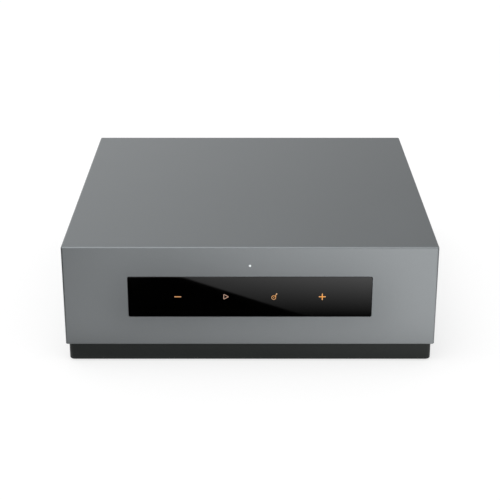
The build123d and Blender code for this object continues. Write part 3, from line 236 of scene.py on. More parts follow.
# Each name says what the material is and how its surface was made; the comment says what that
# gives the eye.
FINISHES = {
    # Even satin sheen with a fine sparkle. Real pits are near 0.1 mm and are drawn at 0.3 mm to show.
    "anodised_shell": Finish(
        "bead_blasted_anodised_aluminium", "#6f7375", "#75797b", 0.41, Marks.BLASTED, 0.3, 0.016,
        metallic=1.0, patch=45.0, uneven=0.015,
    ),
    # Deep black with a sharp reflection; finger grease changes the gloss in wide patches.
    "black_glass": Finish(
        "back_printed_black_glass", "#010101", "#020202", 0.045, Marks.MOULDED, 18.0, 0.0004,
        patch=30.0, uneven=0.012, painted_relief_shade=0.0, ior=1.52,
    ),
    # Dull foam with open cells near 0.4 mm.
    "adhesive": Finish("acrylic_foam_tape", "#2b2b2b", "#343434", 0.9, Marks.PRESSED, 0.4, 0.05),
    # Soft dark sheen. The mould's grain of 0.15 mm is drawn at 0.4 mm to show.
    "black_abs": Finish(
        "spark_eroded_black_abs", "#161a19", "#1b201f", 0.48, Marks.ERODED, 0.4, 0.05, patch=35.0,
        specular=0.28,
    ),
    # Dull black from a fine mould grain, with hardly a highlight.
    "inner_black_plastic": Finish(
        "moulded_black_polyamide", "#151515", "#1b1b1b", 0.55, Marks.ERODED, 0.3, 0.01
    ),
    # Matt, slightly grey with talc, and a little open on its worn face.
    "foot_rubber": Finish(
        "moulded_nitrile_rubber", "#141515", "#1c1d1d", 0.82, Marks.ERODED, 0.6, 0.05, patch=6.0
    ),
    # Glossy green lacquer that stands up over the copper tracks.
    "green_board": Finish(
        "solder_masked_glass_laminate", "#0d3a22", "#12492c", 0.32, Marks.TRACES, 2.4, 0.05, patch=8.0
    ),
    # Bluish bright zinc, clouded by its passivation.
    "zinc_screws": Finish(
        "zinc_plated_steel", "#b4b7b6", "#c2bfae", 0.34, Marks.PEEL, 0.8, 0.004, metallic=1.0, patch=3.0
    ),
    # Dark, slightly oily zinc that shows the edges of the drive.
    "black_screws": Finish(
        "black_zinc_plated_steel", "#26272a", "#34353a", 0.36, Marks.PEEL, 0.6, 0.006, metallic=0.85,
        patch=2.0, uneven=0.08,
    ),
    # Orange peel with waves near 1 mm, and a broad soft sheen.
    "panel_steel": Finish(
        "powder_coated_black_steel", "#17181a", "#1d1e20", 0.42, Marks.PEEL, 1.1, 0.07, patch=20.0
    ),
    # Polished mould: crisp highlights, with faint waves where the melt cooled.
    "gloss_black_plastic": Finish(
        "moulded_black_polycarbonate", "#0e0e0f", "#131314", 0.2, Marks.MOULDED, 5.0, 0.01,
        patch=7.0, uneven=0.05, ior=1.58,
    ),
    # Deep red with the same crisp highlights.
    "red_plastic": Finish(
        "moulded_red_polycarbonate", "#9c0f12", "#8b0b10", 0.22, Marks.MOULDED, 5.0, 0.01,
        patch=6.0, uneven=0.05, ior=1.58,
    ),
    # Warm white, a little softer in its gloss.
    "white_plastic": Finish(
        "moulded_white_abs", "#dedcd4", "#e4e3dd", 0.3, Marks.MOULDED, 4.0, 0.01, patch=4.0
    ),
    # Warm bright flash over nickel, with the rings of the lathe at 0.12 mm drawn at 0.3 mm.
    "gold_plate": Finish(
        "gold_flashed_nickel_brass", "#e6bf6c", "#dcb25c", 0.2, Marks.TURNED, 0.3, 0.006,
        metallic=1.0, patch=4.0, uneven=0.04,
    ),
    # Paler and duller than the gold, with slightly wider rings.
    "brass": Finish(
        "turned_free_cutting_brass", "#cdae62", "#bf9c50", 0.27, Marks.TURNED, 0.35, 0.01,
        metallic=1.0, patch=5.0, uneven=0.05,
    ),
    # Tin over rolled strip: bright, with short streaks from the rolls.
    "socket_steel": Finish(
        "tin_plated_rolled_steel", "#bcbcb8", "#c9c8c2", 0.3, Marks.ROLLED, 0.3, 0.005,
        metallic=1.0, patch=4.0, uneven=0.06,
    ),
    # Silvery, with the long fine lines of the die.
    "heatsink_aluminium": Finish(
        "mill_finish_extruded_aluminium", "#bfc0c2", "#b2b3b6", 0.38, Marks.EXTRUDED, 0.4, 0.01,
        metallic=1.0, patch=12.0, uneven=0.06,
    ),
    # Dark grey ceramic with a dry, faintly glittering break.
    "ferrite": Finish("sintered_ferrite", "#303134", "#3a3b3f", 0.62, Marks.PRESSED, 0.5, 0.02, patch=6.0),
    # Glossy dark film, drawn tight over the can.
    "capacitor_sleeve": Finish(
        "shrunk_polyester_sleeve", "#14181f", "#1b2029", 0.28, Marks.MOULDED, 3.0, 0.02, patch=5.0
    ),
    # Amber film, more orange where its glue is thicker.
    "polyimide": Finish(
        "laminated_polyimide_film", "#b4741f", "#9c5f16", 0.3, Marks.EXTRUDED, 0.8, 0.01, patch=5.0
    ),
    # Soft black with a dull sheen along the lead.
    "lead_insulation": Finish(
        "extruded_black_pvc", "#1d1d1e", "#252526", 0.45, Marks.MOULDED, 1.5, 0.02, patch=8.0
    ),
}


def lamp_material(name: str) -> Material:
    """Make a smooth lit material whose colour is the piece's own attribute called lamp.

    Args:
        name: The material's name.

    Returns:
        The material, which shows each colour as it is written.
    """
    material, tree = blank_material(name)
    lamp = add_node(tree, "VertexColor", layer_name="lamp")
    shader = {
        "Base Color": linear("#1a1512"),
        "Roughness": 0.3,
        "Emission Color": lamp["Color"],
        "Emission Strength": 1.0,
    }
    surface = add_node(tree, "BsdfPrincipled", shader)
    add_node(tree, "OutputMaterial", {"Surface": surface[0]})
    return material


# Shapes on grids


class Facing(Enum):
    """Ways that a local shape can face: the frame's axes for its u, v and height.

    The last is a mirror image, whose faces are turned outwards again when the piece is made.
    """

    REAR = ((-1, 0, 0), (0, 0, 1), (0, 1, 0))
    FRONT = ((1, 0, 0), (0, 0, 1), (0, -1, 0))
    UP = ((1, 0, 0), (0, 1, 0), (0, 0, 1))
    DOWN = ((1, 0, 0), (0, -1, 0), (0, 0, -1))
    UNDER = ((1, 0, 0), (0, 1, 0), (0, 0, -1))


@dataclass
class Surface:
    """Points in millimetres with the quads between them, which may be joined with others."""

    points: np.ndarray
    quads: np.ndarray

    @classmethod
    def from_grid(cls, grid: np.ndarray, wrap_rows: bool = False) -> Surface:
        """Join the points of a grid by quads, with its last column next to its first.

        Quad (i, j) has the corners (i, j), (i, j + 1), (i + 1, j + 1) and (i + 1, j), counted round
        where the grid is wrapped.

        Args:
            grid: Rows by columns by 3.
            wrap_rows: Whether the last row meets the first too.

        Returns:
            The surface.
        """
        rows, columns = grid.shape[:2]
        i, j = np.meshgrid(np.arange(rows if wrap_rows else rows - 1), np.arange(columns), indexing="ij")
        i, j = i.ravel(), j.ravel()
        below, beside = (i + 1) % rows, (j + 1) % columns
        corners = (i * columns + j, i * columns + beside, below * columns + beside, below * columns + j)
        return cls(grid.reshape(-1, 3), np.stack(corners, axis=1))

    @classmethod
    def joined(cls, parts: list[Surface]) -> Surface:
        """Put several surfaces into one.

        Args:
            parts: The surfaces.

        Returns:
            One surface with all their points and quads.
        """
        starts = np.cumsum([0] + [len(part.points) for part in parts[:-1]])
        quads = [part.quads + start for part, start in zip(parts, starts)]
        return cls(np.concatenate([part.points for part in parts]), np.concatenate(quads))

    def seated(self, origin: Triple, facing: Facing) -> Surface:
        """Turn the local u, v and height to the frame's axes, then add the origin."""
        axes = np.array(facing.value, float)
        return Surface(self.points @ axes + np.array(origin, float), self.quads)

    def repeated(self, seats: list[Triple], facing: Facing) -> Surface:
        """Seat a copy at each of several places, all facing one way."""
        return Surface.joined([self.seated(seat, facing) for seat in seats])

    def piece(self, name: str) -> Piece:
        """Fill a mesh object, merge what coincides and point its faces outwards.

        Args:
            name: The object's name.

        Returns:
            The object, at the origin.
        """
        mesh = bpy.data.meshes.new(name)
        mesh.vertices.add(len(self.points))
        mesh.vertices.foreach_set("co", (self.points * MM).astype(np.float32).ravel())
        mesh.loops.add(self.quads.size)
        mesh.loops.foreach_set("vertex_index", self.quads.astype(np.int32).ravel())
        mesh.polygons.add(len(self.quads))
        mesh.polygons.foreach_set("loop_start", np.arange(0, self.quads.size, 4, dtype=np.int32))
        mesh.update(calc_edges=True)
        return finished_object(name, mesh, SHARP, outwards=True)


def finished_object(name: str, mesh: bpy.types.Mesh, sharp: float, outwards: bool) -> Piece:
    """Merge a mesh's doubles, smooth it up to an angle, and link it as an object.

    Args:
        name: The object's name.
        mesh: The mesh, already in place.
        sharp: Edges that turn by more degrees than this stay sharp.
        outwards: Whether the faces are turned outwards.

    Returns:
        The object, with normals weighted by face area.
    """
    stored = mesh.attributes.get("custom_normal")
    if stored is not None:
        mesh.attributes.remove(stored)
    work = bmesh.new()
    work.from_mesh(mesh)
    bmesh.ops.remove_doubles(work, verts=work.verts, dist=WELD)
    bmesh.ops.dissolve_degenerate(work, edges=work.edges, dist=WELD / 20)
    if outwards:
        bmesh.ops.recalc_face_normals(work, faces=work.faces)
    work.to_mesh(mesh)
    work.free()
    mesh.shade_smooth()
    mesh.set_sharp_from_angle(angle=math.radians(sharp))
    made = bpy.data.objects.new(name, mesh)
    bpy.context.scene.collection.objects.link(made)
    weighted = made.modifiers.new("even_shading", "WEIGHTED_NORMAL")
    weighted.keep_sharp = True
    weighted.weight = 100
    return made


def turned(rows: list, around: int, hollow: bool = False) -> Surface:
    """Carry a profile round an axis: u = r cos t, v = r sin t, with the height along the axis.

    Args:
        rows: The profile's radii and heights, pair after pair. Each is a number, one value for each
            column, or an array of rows by columns.
        around: Number of columns round the axis.
        hollow: Whether the profile's end meets its start, which gives a ring.

    Returns:
        A surface, closed if it is a ring or its profile starts and ends on the axis.
    """
    angle = np.arange(around) * (2 * math.pi / around)
    radius, height = (
        np.concatenate([np.atleast_2d(np.asarray(row[k], float)) * np.ones((1, around)) for row in rows])
        for k in (0, 1)
    )
    grid = np.stack((radius * np.cos(angle), radius * np.sin(angle), height), axis=2)
    return Surface.from_grid(grid, wrap_rows=hollow)


def thread(radius: float, depth: float, pitch: float, start: float, end: float, around: int) -> tuple:
    """Make the rows of a screw thread: the radius is the crest less depth times a triangle wave.

    The wave goes from 0 at whole turns to 1 half way between, and fades over one pitch at both
    ends. Its phase is the height over the pitch, less the angle as a share of a turn.

    Args:
        radius: Crest radius.
        depth: Depth from crest to root.
        pitch: Height of one turn.
        start: Height of the first row.
        end: Height of the last row, above or below the first.
        around: Number of columns round the axis.

    Returns:
        Arrays of radii and heights, rows by columns.
    """
    rows_in_turn = 6
    rows = max(2, int(abs(end - start) / pitch * rows_in_turn))
    height = np.linspace(start, end, rows)[:, None] * np.ones(around)
    fade = np.minimum(1.0, np.minimum(abs(height - start), abs(end - height)) / pitch)
    phase = (height / pitch - np.arange(around) / around) % 1.0
    wave = np.where(phase < 0.5, 2 * phase, 2 - 2 * phase)
    return radius - depth * fade * wave, height


def unit(vectors: np.ndarray) -> np.ndarray:
    """Divide each row by its length."""
    return vectors / np.linalg.norm(vectors, axis=1)[:, None]


def way_along(path: np.ndarray) -> np.ndarray:
    """Add up the lengths between a path's points, from 0 at the first."""
    return np.concatenate(([0], np.cumsum(np.linalg.norm(np.diff(path, axis=0), axis=1))))


def stroke(
    path: np.ndarray, width: float, thickness: float, closed: bool = False, square: bool = False
) -> Surface:
    """Carry a flat band along a path in the u, v plane.

    Across the path, each station has a floor, two sides and a slightly crowned face. Near a round
    end, the half width w shrinks to sqrt(w^2 - s^2), where s is the way into the cap.

    Args:
        path: Stations by 2.
        width: Width of the band.
        thickness: Height of its face over the plane.
        closed: Whether the path's end meets its start. Otherwise its end is round.
        square: Whether an open path's start is square, and not round.

    Returns:
        The band.
    """
    if closed:
        along = np.roll(path, -1, axis=0) - np.roll(path, 1, axis=0)
        half = np.full(len(path), width / 2)
    else:
        along = np.gradient(path, axis=0)
        run = way_along(path)
        left = run[-1] - run
        into = np.maximum(width / 2 - (left if square else np.minimum(run, left)), 0)
        half = np.sqrt(np.maximum(width**2 / 4 - into**2, 1e-8))
    along = unit(along)
    across = np.stack((-along[:, 1], along[:, 0]), axis=1)
    share = np.array([-1.0, -1.0, -0.5, 0.0, 0.5, 1.0, 1.0])
    level = np.array([0.0, 0.8, 1.0, 1.0, 1.0, 0.8, 0.0]) * thickness
    flat = path[:, None, :] + across[:, None, :] * (half[:, None] * share)[:, :, None]
    grid = np.concatenate((flat, np.broadcast_to(level[None, :, None], (*flat.shape[:2], 1))), axis=2)
    if closed:
        return Surface.from_grid(grid, wrap_rows=True)
    # A first row drawn together on the plane closes the start. A round end is as wide as the weld
    # reaches, so where rounding keeps its two sides apart, a slit of 0.2 micrometres is left.
    start = grid[:1].mean(axis=1, keepdims=True) * np.array([1, 1, 0]) * np.ones((1, len(share), 1))
    return Surface.from_grid(np.concatenate((start, grid)))


# Fitting pieces to the frame


SLOTS = {part["node"]: part["material_slot"] for part in frame["record"]["subparts"]}
BODIES = {node: body for body, group in frame["record"]["behaviour"]["bodies"].items() for node in group}


@functools.cache
def slot_material(slot: str) -> Material:
    """Give the material of one of the record's slots, made at its first use."""
    return FINISHES[slot].material()


class Assembly:
    """A sub-assembly, which fits its pieces to the CAD frame."""

    def smooth(self, node: str, sharp: float = 32.0, material: Material | None = None) -> Piece:
        """Show a merged copy of a CAD node, so that its faces shade smoothly up to a sharp angle."""
        copy = finished_object(f"{node}_surface", frame["nodes"][node].data.copy(), sharp, outwards=False)
        return self.fit(copy, node, material=material)

    def repeat(self, shape: Surface, seats: tuple, facing: Facing, node: str, made: str) -> None:
        """Let copies of a shape stand for a CAD node, with how they are made added to its name."""
        self.fit(shape.repeated(seats, facing).piece(f"{node}_{made}"), node)

    def fit(
        self, piece: Piece, like: str, replaces: bool = True, slot: str = "", material: Material | None = None
    ) -> Piece:
        """Make a piece ride on a node's body, wear a material and, as a rule, stand for the node.

        Args:
            piece: The finished piece, in place.
            like: The CAD node whose body it rides on.
            replaces: Whether it stands for that node.
            slot: The record's slot, if not that of the node.
            material: A material other than its slot's.

        Returns:
            The same piece.
        """
        slot = slot or SLOTS[like]
        piece.data.materials.clear()
        piece.data.materials.append(material or slot_material(slot))
        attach(piece, BODIES[like])
        if replaces:
            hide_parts(like)
        report.info("%s: %d faces on %s, %s", piece.name, len(piece.data.polygons), BODIES[like], slot)
        return piece


@dataclass(frozen=True)
class PanHeadScrew:
    """A pan-head screw with a six-lobed drive and a full thread. The defaults fit a 3 mm screw.

    Lobe is a share of the drive's radius, dome of the head's height, and root and tip of the
    shank's radius. The drive's floor is rows of a share of its wall's radius and a dip. The crown
    is where the rows of the head's top lie between that wall and the rim.
    """

    shank_length: float
    head_radius: float = 2.75
    head_height: float = 1.9
    shank_radius: float = 1.48
    drive_radius: float = 1.15
    drive_depth: float = 1.1
    pitch: float = 0.8
    edge: float = 0.12
    rim: float = 0.15
    point: float = 0.5
    lobe: float = 0.13
    dome: float = 0.34
    root: float = 0.22
    tip: float = 0.6
    drive_floor: tuple = ((0.0, 0.15), (0.5, 0.0), (0.96, 0.0))
    crown: tuple = (0.0, 0.06, 0.3, 0.6, 0.85, 1.0)
    brink: float = 0.04
    thread_top: float = -0.1
    around: int = 36

    def surface(self) -> Surface:
        """Build one screw with its seat at height 0 and its head above.

        The drive's wall is at the drive's radius times 1 + lobe cos 6t. The head's top falls by the
        dome's share of its height, with the cube of the radius.

        Returns:
            The closed screw.
        """
        angle = np.arange(self.around) * (2 * math.pi / self.around)
        lobes = self.drive_radius * (1 + self.lobe * np.cos(6 * angle))
        floor = self.head_height - self.drive_depth
        rows = [(lobes * share, floor - dip) for share, dip in self.drive_floor]
        for share in self.crown:
            radius = lobes + share * (self.head_radius - self.rim - lobes)
            drop = self.dome * (radius / self.head_radius) ** 3
            rows.append((radius, self.head_height * (1 - drop) - (0 if share else self.brink)))
        rows += [(self.head_radius, self.head_height / 2), (self.head_radius, self.edge)]
        rows += [(self.head_radius - self.edge, 0.0), (self.shank_radius, 0.0)]
        form = (self.shank_radius, self.root * self.shank_radius, self.pitch)
        rows.append(thread(*form, self.thread_top, self.point - self.shank_length, self.around))
        rows += [(self.shank_radius * self.tip, -self.shank_length), (0.0, -self.shank_length)]
        return turned(rows, self.around)


# Sub-assemblies


@dataclass
class CaseShell(Assembly):
    """The five-sided shell, milled from a block, then bead-blasted and anodised."""

    sharp_angle: float = 20.0

    def build(self) -> None:
        """Show the shell with smooth rounded edges."""
        self.smooth("top_shell", self.sharp_angle)


@dataclass
class TouchStrip(Assembly):
    """Black glass with four lit touch symbols, and the status light above it.

    A symbol's sizes are about its own centre, u to the right and v up.
    """

    glass_front: float = -94.95
    symbol_height: float = 36.4
    symbol_pitch: float = 24.5
    thickness: float = 0.03
    line_width: float = 0.5
    stem_width: float = 0.36
    outline_width: float = 0.29
    reach: float = 1.8
    triangle: tuple = ((-1.08, -1.36), (1.38, 0.0), (-1.08, 1.36))
    triangle_corner: float = 0.18
    ring_radius: float = 1.02
    ring_centre: Pair = (-0.2, -0.45)
    dot_radius: float = 0.24
    stem_rise: Pair = (0.4, 1.25)
    ball_centre: Pair = (1.24, 1.56)
    ball_radius: float = 0.38
    station_gap: float = 0.06
    status_colour: str = "#e4e9ea"
    colours: tuple = (
        ("#d8924f", "#bf9c7c"),
        ("#cc9677", "#bfa594"),
        ("#e89c48", "#d0a47a"),
        ("#ffa63c", "#eab27a"),
    )
    amber: Material = field(default_factory=lambda: lamp_material("amber_lit_print"))

    def paint(self, piece: Piece, colours: np.ndarray) -> None:
        """Store one linear colour for each vertex as the attribute called lamp."""
        lamp = piece.data.color_attributes.new("lamp", "FLOAT_COLOR", "POINT")
        lamp.data.foreach_set("color", colours.astype(np.float32).ravel())

    def symbol(self, name: str, column: int, parts: list[Surface]) -> None:
        """Seat one symbol on the glass and colour it.

        The colour goes from the lamp's own in the middle to a paler one at the tips, with the
        square of the distance over the symbol's reach.

        Args:
            name: The symbol's name.
            column: Its column on the glass, from 0 at the left.
            parts: Its strokes and dots about its own centre.
        """
        centre = ((column - 1.5) * self.symbol_pitch, self.glass_front, self.symbol_height)
        made = Surface.joined(parts).seated(centre, Facing.FRONT).piece(f"touch_symbol_{name}")
        points = np.empty(3 * len(made.data.vertices), np.float32)
        made.data.vertices.foreach_get("co", points)
        away = points.reshape(-1, 3) / MM - np.array(centre)
        share = np.clip((away[:, 0] ** 2 + away[:, 2] ** 2) / self.reach**2, 0, 1)[:, None]
        near, far = (np.array(linear(colour)) for colour in self.colours[column])
        self.paint(made, near + share * (far - near))
        self.fit(made, "front_glass", replaces=False, material=self.amber)

    def line(self, points: list[Pair], width: float, square: bool = False) -> Surface:
        """Draw a stroke through points, with stations at even gaps.

        Args:
            points: The corners of its path.
            width: Its width.
            square: Whether its start is square.

        Returns:
            The stroke.
        """
        corners = np.array(points, float)
        run = way_along(corners)
        stations = np.linspace(0, run[-1], int(run[-1] / self.station_gap) + 3)
        path = np.stack([np.interp(stations, run, corners[:, k]) for k in (0, 1)], axis=1)
        return stroke(path, width, self.thickness, square=square)

    def outline(self) -> Surface:
        """Draw the play symbol: a closed stroke round a triangle with arcs at its corners.

        Each arc's centre is pulled in from its corner along the bisector, by the corner radius over
        the sine of half the angle there.

        Returns:
            The stroke.
        """
        corners = np.array(self.triangle)
        before, after = (unit(np.roll(corners, step, axis=0) - corners) for step in (1, -1))
        half = np.arccos(np.sum(before * after, axis=1)) / 2
        bisector = unit(before + after)
        centres = corners + bisector * (self.triangle_corner / np.sin(half))[:, None]
        first = np.arctan2(-bisector[:, 1], -bisector[:, 0]) - (math.pi / 2 - half)
        turn = first[:, None] + np.linspace(0, 1, 9) * (math.pi - 2 * half)[:, None]
        arcs = centres[:, None] + self.triangle_corner * np.stack((np.cos(turn), np.sin(turn)), axis=2)
        return stroke(arcs.reshape(-1, 2), self.outline_width, self.thickness, closed=True)

    def dot(self, centre: Pair, radius: float) -> Surface:
        """Draw a flat round dot with a softened rim."""
        rows = [(radius * r, self.thickness * h) for r, h in ((0, 1), (0.7, 1), (1, 0.8), (1, 0), (0, 0))]
        return turned(rows, around=24).seated((*centre, 0.0), Facing.UP)

    def source(self) -> list[Surface]:
        """Draw the source symbol: a ring with a dot in it, and a stem that ends in a ball.

        Returns:
            The ring, the dot, the stem and the ball.
        """
        u, v = self.ring_centre
        turn = np.linspace(0, 2 * math.pi, 49)[:-1]
        circle = np.stack((u + self.ring_radius * np.cos(turn), v + self.ring_radius * np.sin(turn)), axis=1)
        stem = [(u + self.ring_radius, v + rise) for rise in self.stem_rise]
        return [
            stroke(circle, self.outline_width, self.thickness, closed=True),
            self.dot(self.ring_centre, self.dot_radius),
            self.line([*stem, self.ball_centre], self.stem_width, square=True),
            self.dot(self.ball_centre, self.ball_radius),
        ]

    def build(self) -> None:
        """Dress the glass, place the symbols on it, and light the status pipe."""
        self.smooth("front_glass")
        reach, width = self.reach, self.line_width
        level = self.line([(-reach, 0), (reach, 0)], width)
        arms = [self.line([(0, s * width / 2), (0, s * reach)], width, square=True) for s in (-1, 1)]
        play, source = [self.outline()], self.source()
        symbols = {"minus": [level], "play": play, "source": source, "plus": [level, *arms]}
        for column, (name, parts) in enumerate(symbols.items()):
            self.symbol(name, column, parts)
        pipe = self.smooth("status_light_pipe", material=lamp_material("lit_clear_polycarbonate"))
        self.paint(pipe, np.tile(linear(self.status_colour), (len(pipe.data.vertices), 1)))


@dataclass
class Plinth(Assembly):
    """The moulded tray under the shell, its rubber feet and the screws that close the case."""

    foot_seats: tuple = ((0, 0, 0), (-70, -72, 0), (-70, 72, 0), (70, -72, 0), (70, 72, 0))
    foot_radius: float = 9.0
    foot_height: float = 1.1
    foot_rim: float = 0.35
    groove_radii: Pair = (3.6, 6.4)
    groove_half_width: float = 0.55
    groove_depth: float = 0.25
    screw: PanHeadScrew = PanHeadScrew(16.0)
    screw_seats: tuple = ((-86.5, -84, 7.8), (-86.5, 52, 7.8), (86.5, -84, 7.8), (86.5, 52, 7.8))

    def foot(self) -> Surface:
        """Build one foot: a flat disc with two round grooves in its face and a rounded rim.

        A groove's depth is a half cosine over its width, so the face stays smooth.

        Returns:
            The closed foot, face down at height 0.
        """
        face = self.foot_radius - self.foot_rim
        radii = np.linspace(0, face, 60)
        away = np.abs(radii[:, None] - np.array(self.groove_radii)) / self.groove_half_width
        grooves = (self.groove_depth * 0.5 * (1 + np.cos(math.pi * np.clip(away, 0, 1)))).sum(axis=1)
        bend = np.linspace(0, math.pi / 2, 6)
        rim = zip(face + self.foot_rim * np.sin(bend), self.foot_rim * (1 - np.cos(bend)))
        top = [(self.foot_radius, self.foot_height), (0, self.foot_height)]
        return turned([*zip(radii, grooves), *rim, *top], around=64)

    def build(self) -> None:
        """Dress the tray, and build the feet and the screws."""
        self.smooth("base_tray")
        self.repeat(self.foot(), self.foot_seats, Facing.UP, "rubber_feet", "moulded")
        self.repeat(self.screw.surface(), self.screw_seats, Facing.DOWN, "case_screws", "threaded")


@dataclass
class ConnectorPanel(Assembly):
    """The folded steel panel, with its screws and the mains inlet.

    The panel's face is at y 92.5 mm, and that of the block that two of its screws hold at 95 mm.
    """

    screw: PanHeadScrew = PanHeadScrew(8.0)
    screw_seats: tuple = ((78, 92.5, 52), (-20, 92.5, 52), (-78, 92.5, 52), (39, 95, 21.7), (39, 95, 48.7))
    phono_screw: PanHeadScrew = PanHeadScrew(
        6.5, head_radius=2.2, shank_radius=1.08, drive_radius=0.95, pitch=0.6
    )
    phono_seats: tuple = ((10.5, 92.5, 38), (-3.5, 92.5, 38))

    def build(self) -> None:
        """Dress the panel and the inlet, and build the screws."""
        for node in ("rear_panel", "mains_inlet_housing", "mains_inlet_pins"):
            self.smooth(node)
        large, small = self.screw.surface(), self.phono_screw.surface()
        self.repeat(large, self.screw_seats, Facing.REAR, "rear_panel_screws", "threaded")
        self.repeat(small, self.phono_seats, Facing.REAR, "phono_screws", "threaded")


@dataclass
class SpeakerTerminals(Assembly):
    """Four binding posts with knurled caps on one moulded block.

    Profiles are rows of radius and height. A cap's heights count from its seat, and a post's are
    places along Y.
    """

    centre: Pair = (39.0, 35.2)
    pitch: float = 19.05
    corners: tuple = (
        ("right_negative", 1, -1), ("right_positive", 1, 1),
        ("left_negative", -1, -1), ("left_positive", -1, 1),
    )
    cap_seat: float = 98.0
    cap_radius: float = 6.5
    cap_length: float = 14.0
    cap_collar: tuple = ((4.7, 0), (6.2, 0), (6.5, 0.3), (6.5, 1.5), (6.25, 1.8), (6.25, 2.0))
    cap_mouth: tuple = ((4.2, 14.0), (3.4, 13.08), (3.4, 9.5), (4.7, 9.5))
    nose_radius: float = 5.9
    nose_round: float = 0.6
    nose_edge: float = 0.15
    knurl: Pair = (2.0, 12.4)
    knurl_steps: tuple = ((0.15, 0.4, 0.7), (0.7, 0.3))
    teeth: int = 28
    tooth_depth: float = 0.55
    tooth_power: float = 0.8
    end_depth: float = 0.08
    end_set_in: float = 0.1
    fade_length: float = 0.6
    post_tail: tuple = ((0.0, 81.5), (2.7, 81.5))
    tail_thread: Pair = (81.8, 90.0)
    post_seat: tuple = ((3.0, 95.0), (5.5, 95.0), (5.5, 96.7), (5.2, 97.0), (3.0, 97.0))
    front_thread: Pair = (97.2, 111.1)
    post_bore: tuple = ((2.7, 111.5), (2.32, 111.5), (2.02, 111.2), (2.02, 94.0), (0.0, 93.0))
    thread_radius: float = 3.0
    thread_depth: float = 0.35
    thread_pitch: float = 1.0
    wire_drill: tuple = ((0.0, -4.0), (1.3, -4.0), (1.3, 4.0), (0.0, 4.0))
    wire_hole_y: float = 99.9

    def places(self) -> dict[str, Pair]:
        """Give each terminal's x and z by its name."""
        (x, z), half = self.centre, self.pitch / 2
        return {name: (x + right * half, z + up * half) for name, right, up in self.corners}

    def cap(self) -> Surface:
        """Build one cap: a closed profile round the axis, whose middle is knurled.

        The knurl's radius is the cap's, less the tooth depth times a power of a raised cosine wave,
        which fades out at both ends.

        Returns:
            The closed cap, with its seat at height 0.
        """
        columns = 8
        turn = 2 * math.pi * np.arange(self.teeth * columns) / columns
        wave = (0.5 - 0.5 * np.cos(turn)) ** self.tooth_power
        start, end = self.knurl
        after, before = self.knurl_steps
        rows = [*self.cap_collar]
        for height in (*(start + s for s in after), (start + end) / 2, *(end - s for s in before)):
            fade = min(1.0, (height - start) / self.fade_length, (end - height) / self.fade_length)
            cut = (self.end_depth + self.tooth_depth * fade) * wave
            rows.append((self.cap_radius - cut - self.end_set_in * (1 - fade), height))
        rows += [(self.nose_radius + self.nose_edge, end), (self.nose_radius, end + self.nose_edge)]
        bend = np.linspace(0, math.pi / 2, 6)
        round_radius = self.nose_radius - self.nose_round * (1 - np.cos(bend))
        rows += zip(round_radius, self.cap_length - self.nose_round * (1 - np.sin(bend)))
        return turned([*rows, *self.cap_mouth], self.teeth * columns, hollow=True)

    def post(self) -> Surface:
        """Build one post, from its threaded tail through its seat and thread to its banana bore.

        Returns:
            The closed post, with heights along Y.
        """
        around = 48
        form = (self.thread_radius, self.thread_depth, self.thread_pitch)
        tail, front = (thread(*form, *ends, around) for ends in (self.tail_thread, self.front_thread))
        return turned([*self.post_tail, tail, *self.post_seat, front, *self.post_bore], around)

    def drilled_posts(self) -> Piece:
        """Seat the four posts and drill the upright wire hole through each thread.

        Returns:
            The posts as one piece, with the drill applied.
        """
        posts = self.post().repeated([(x, 0, z) for x, z in self.places().values()], Facing.REAR)
        holes = [(x, self.wire_hole_y, z) for x, z in self.places().values()]
        made = posts.piece("terminal_posts_threaded")
        cutter = turned(self.wire_drill, around=32).repeated(holes, Facing.UP).piece("wire_hole_drill")
        cut = made.modifiers.new("wire_holes", "BOOLEAN")
        cut.object, cut.operation, cut.solver = cutter, "DIFFERENCE", "EXACT"
        bpy.context.view_layer.update()
        whole = bpy.data.meshes.new_from_object(made.evaluated_get(bpy.context.evaluated_depsgraph_get()))
        for spare in (made, cutter):
            bpy.data.objects.remove(spare)
        return finished_object("terminal_posts_threaded", whole, SHARP, outwards=False)

    def build(self) -> None:
        """Dress the block, washers and nuts, and build the posts and caps."""
        self.smooth("terminal_block")
        self.smooth("terminal_back_nuts")
        self.fit(self.drilled_posts(), "terminal_posts")
        cap = self.cap()
        for name, (x, z) in self.places().items():
            self.smooth(f"terminal_washer_{name}")
            self.smooth(f"terminal_nut_{name}")
            made = cap.seated((x, self.cap_seat, z), Facing.REAR).piece(f"knurled_cap_{name}")
            self.fit(made, f"terminal_cap_{name}")


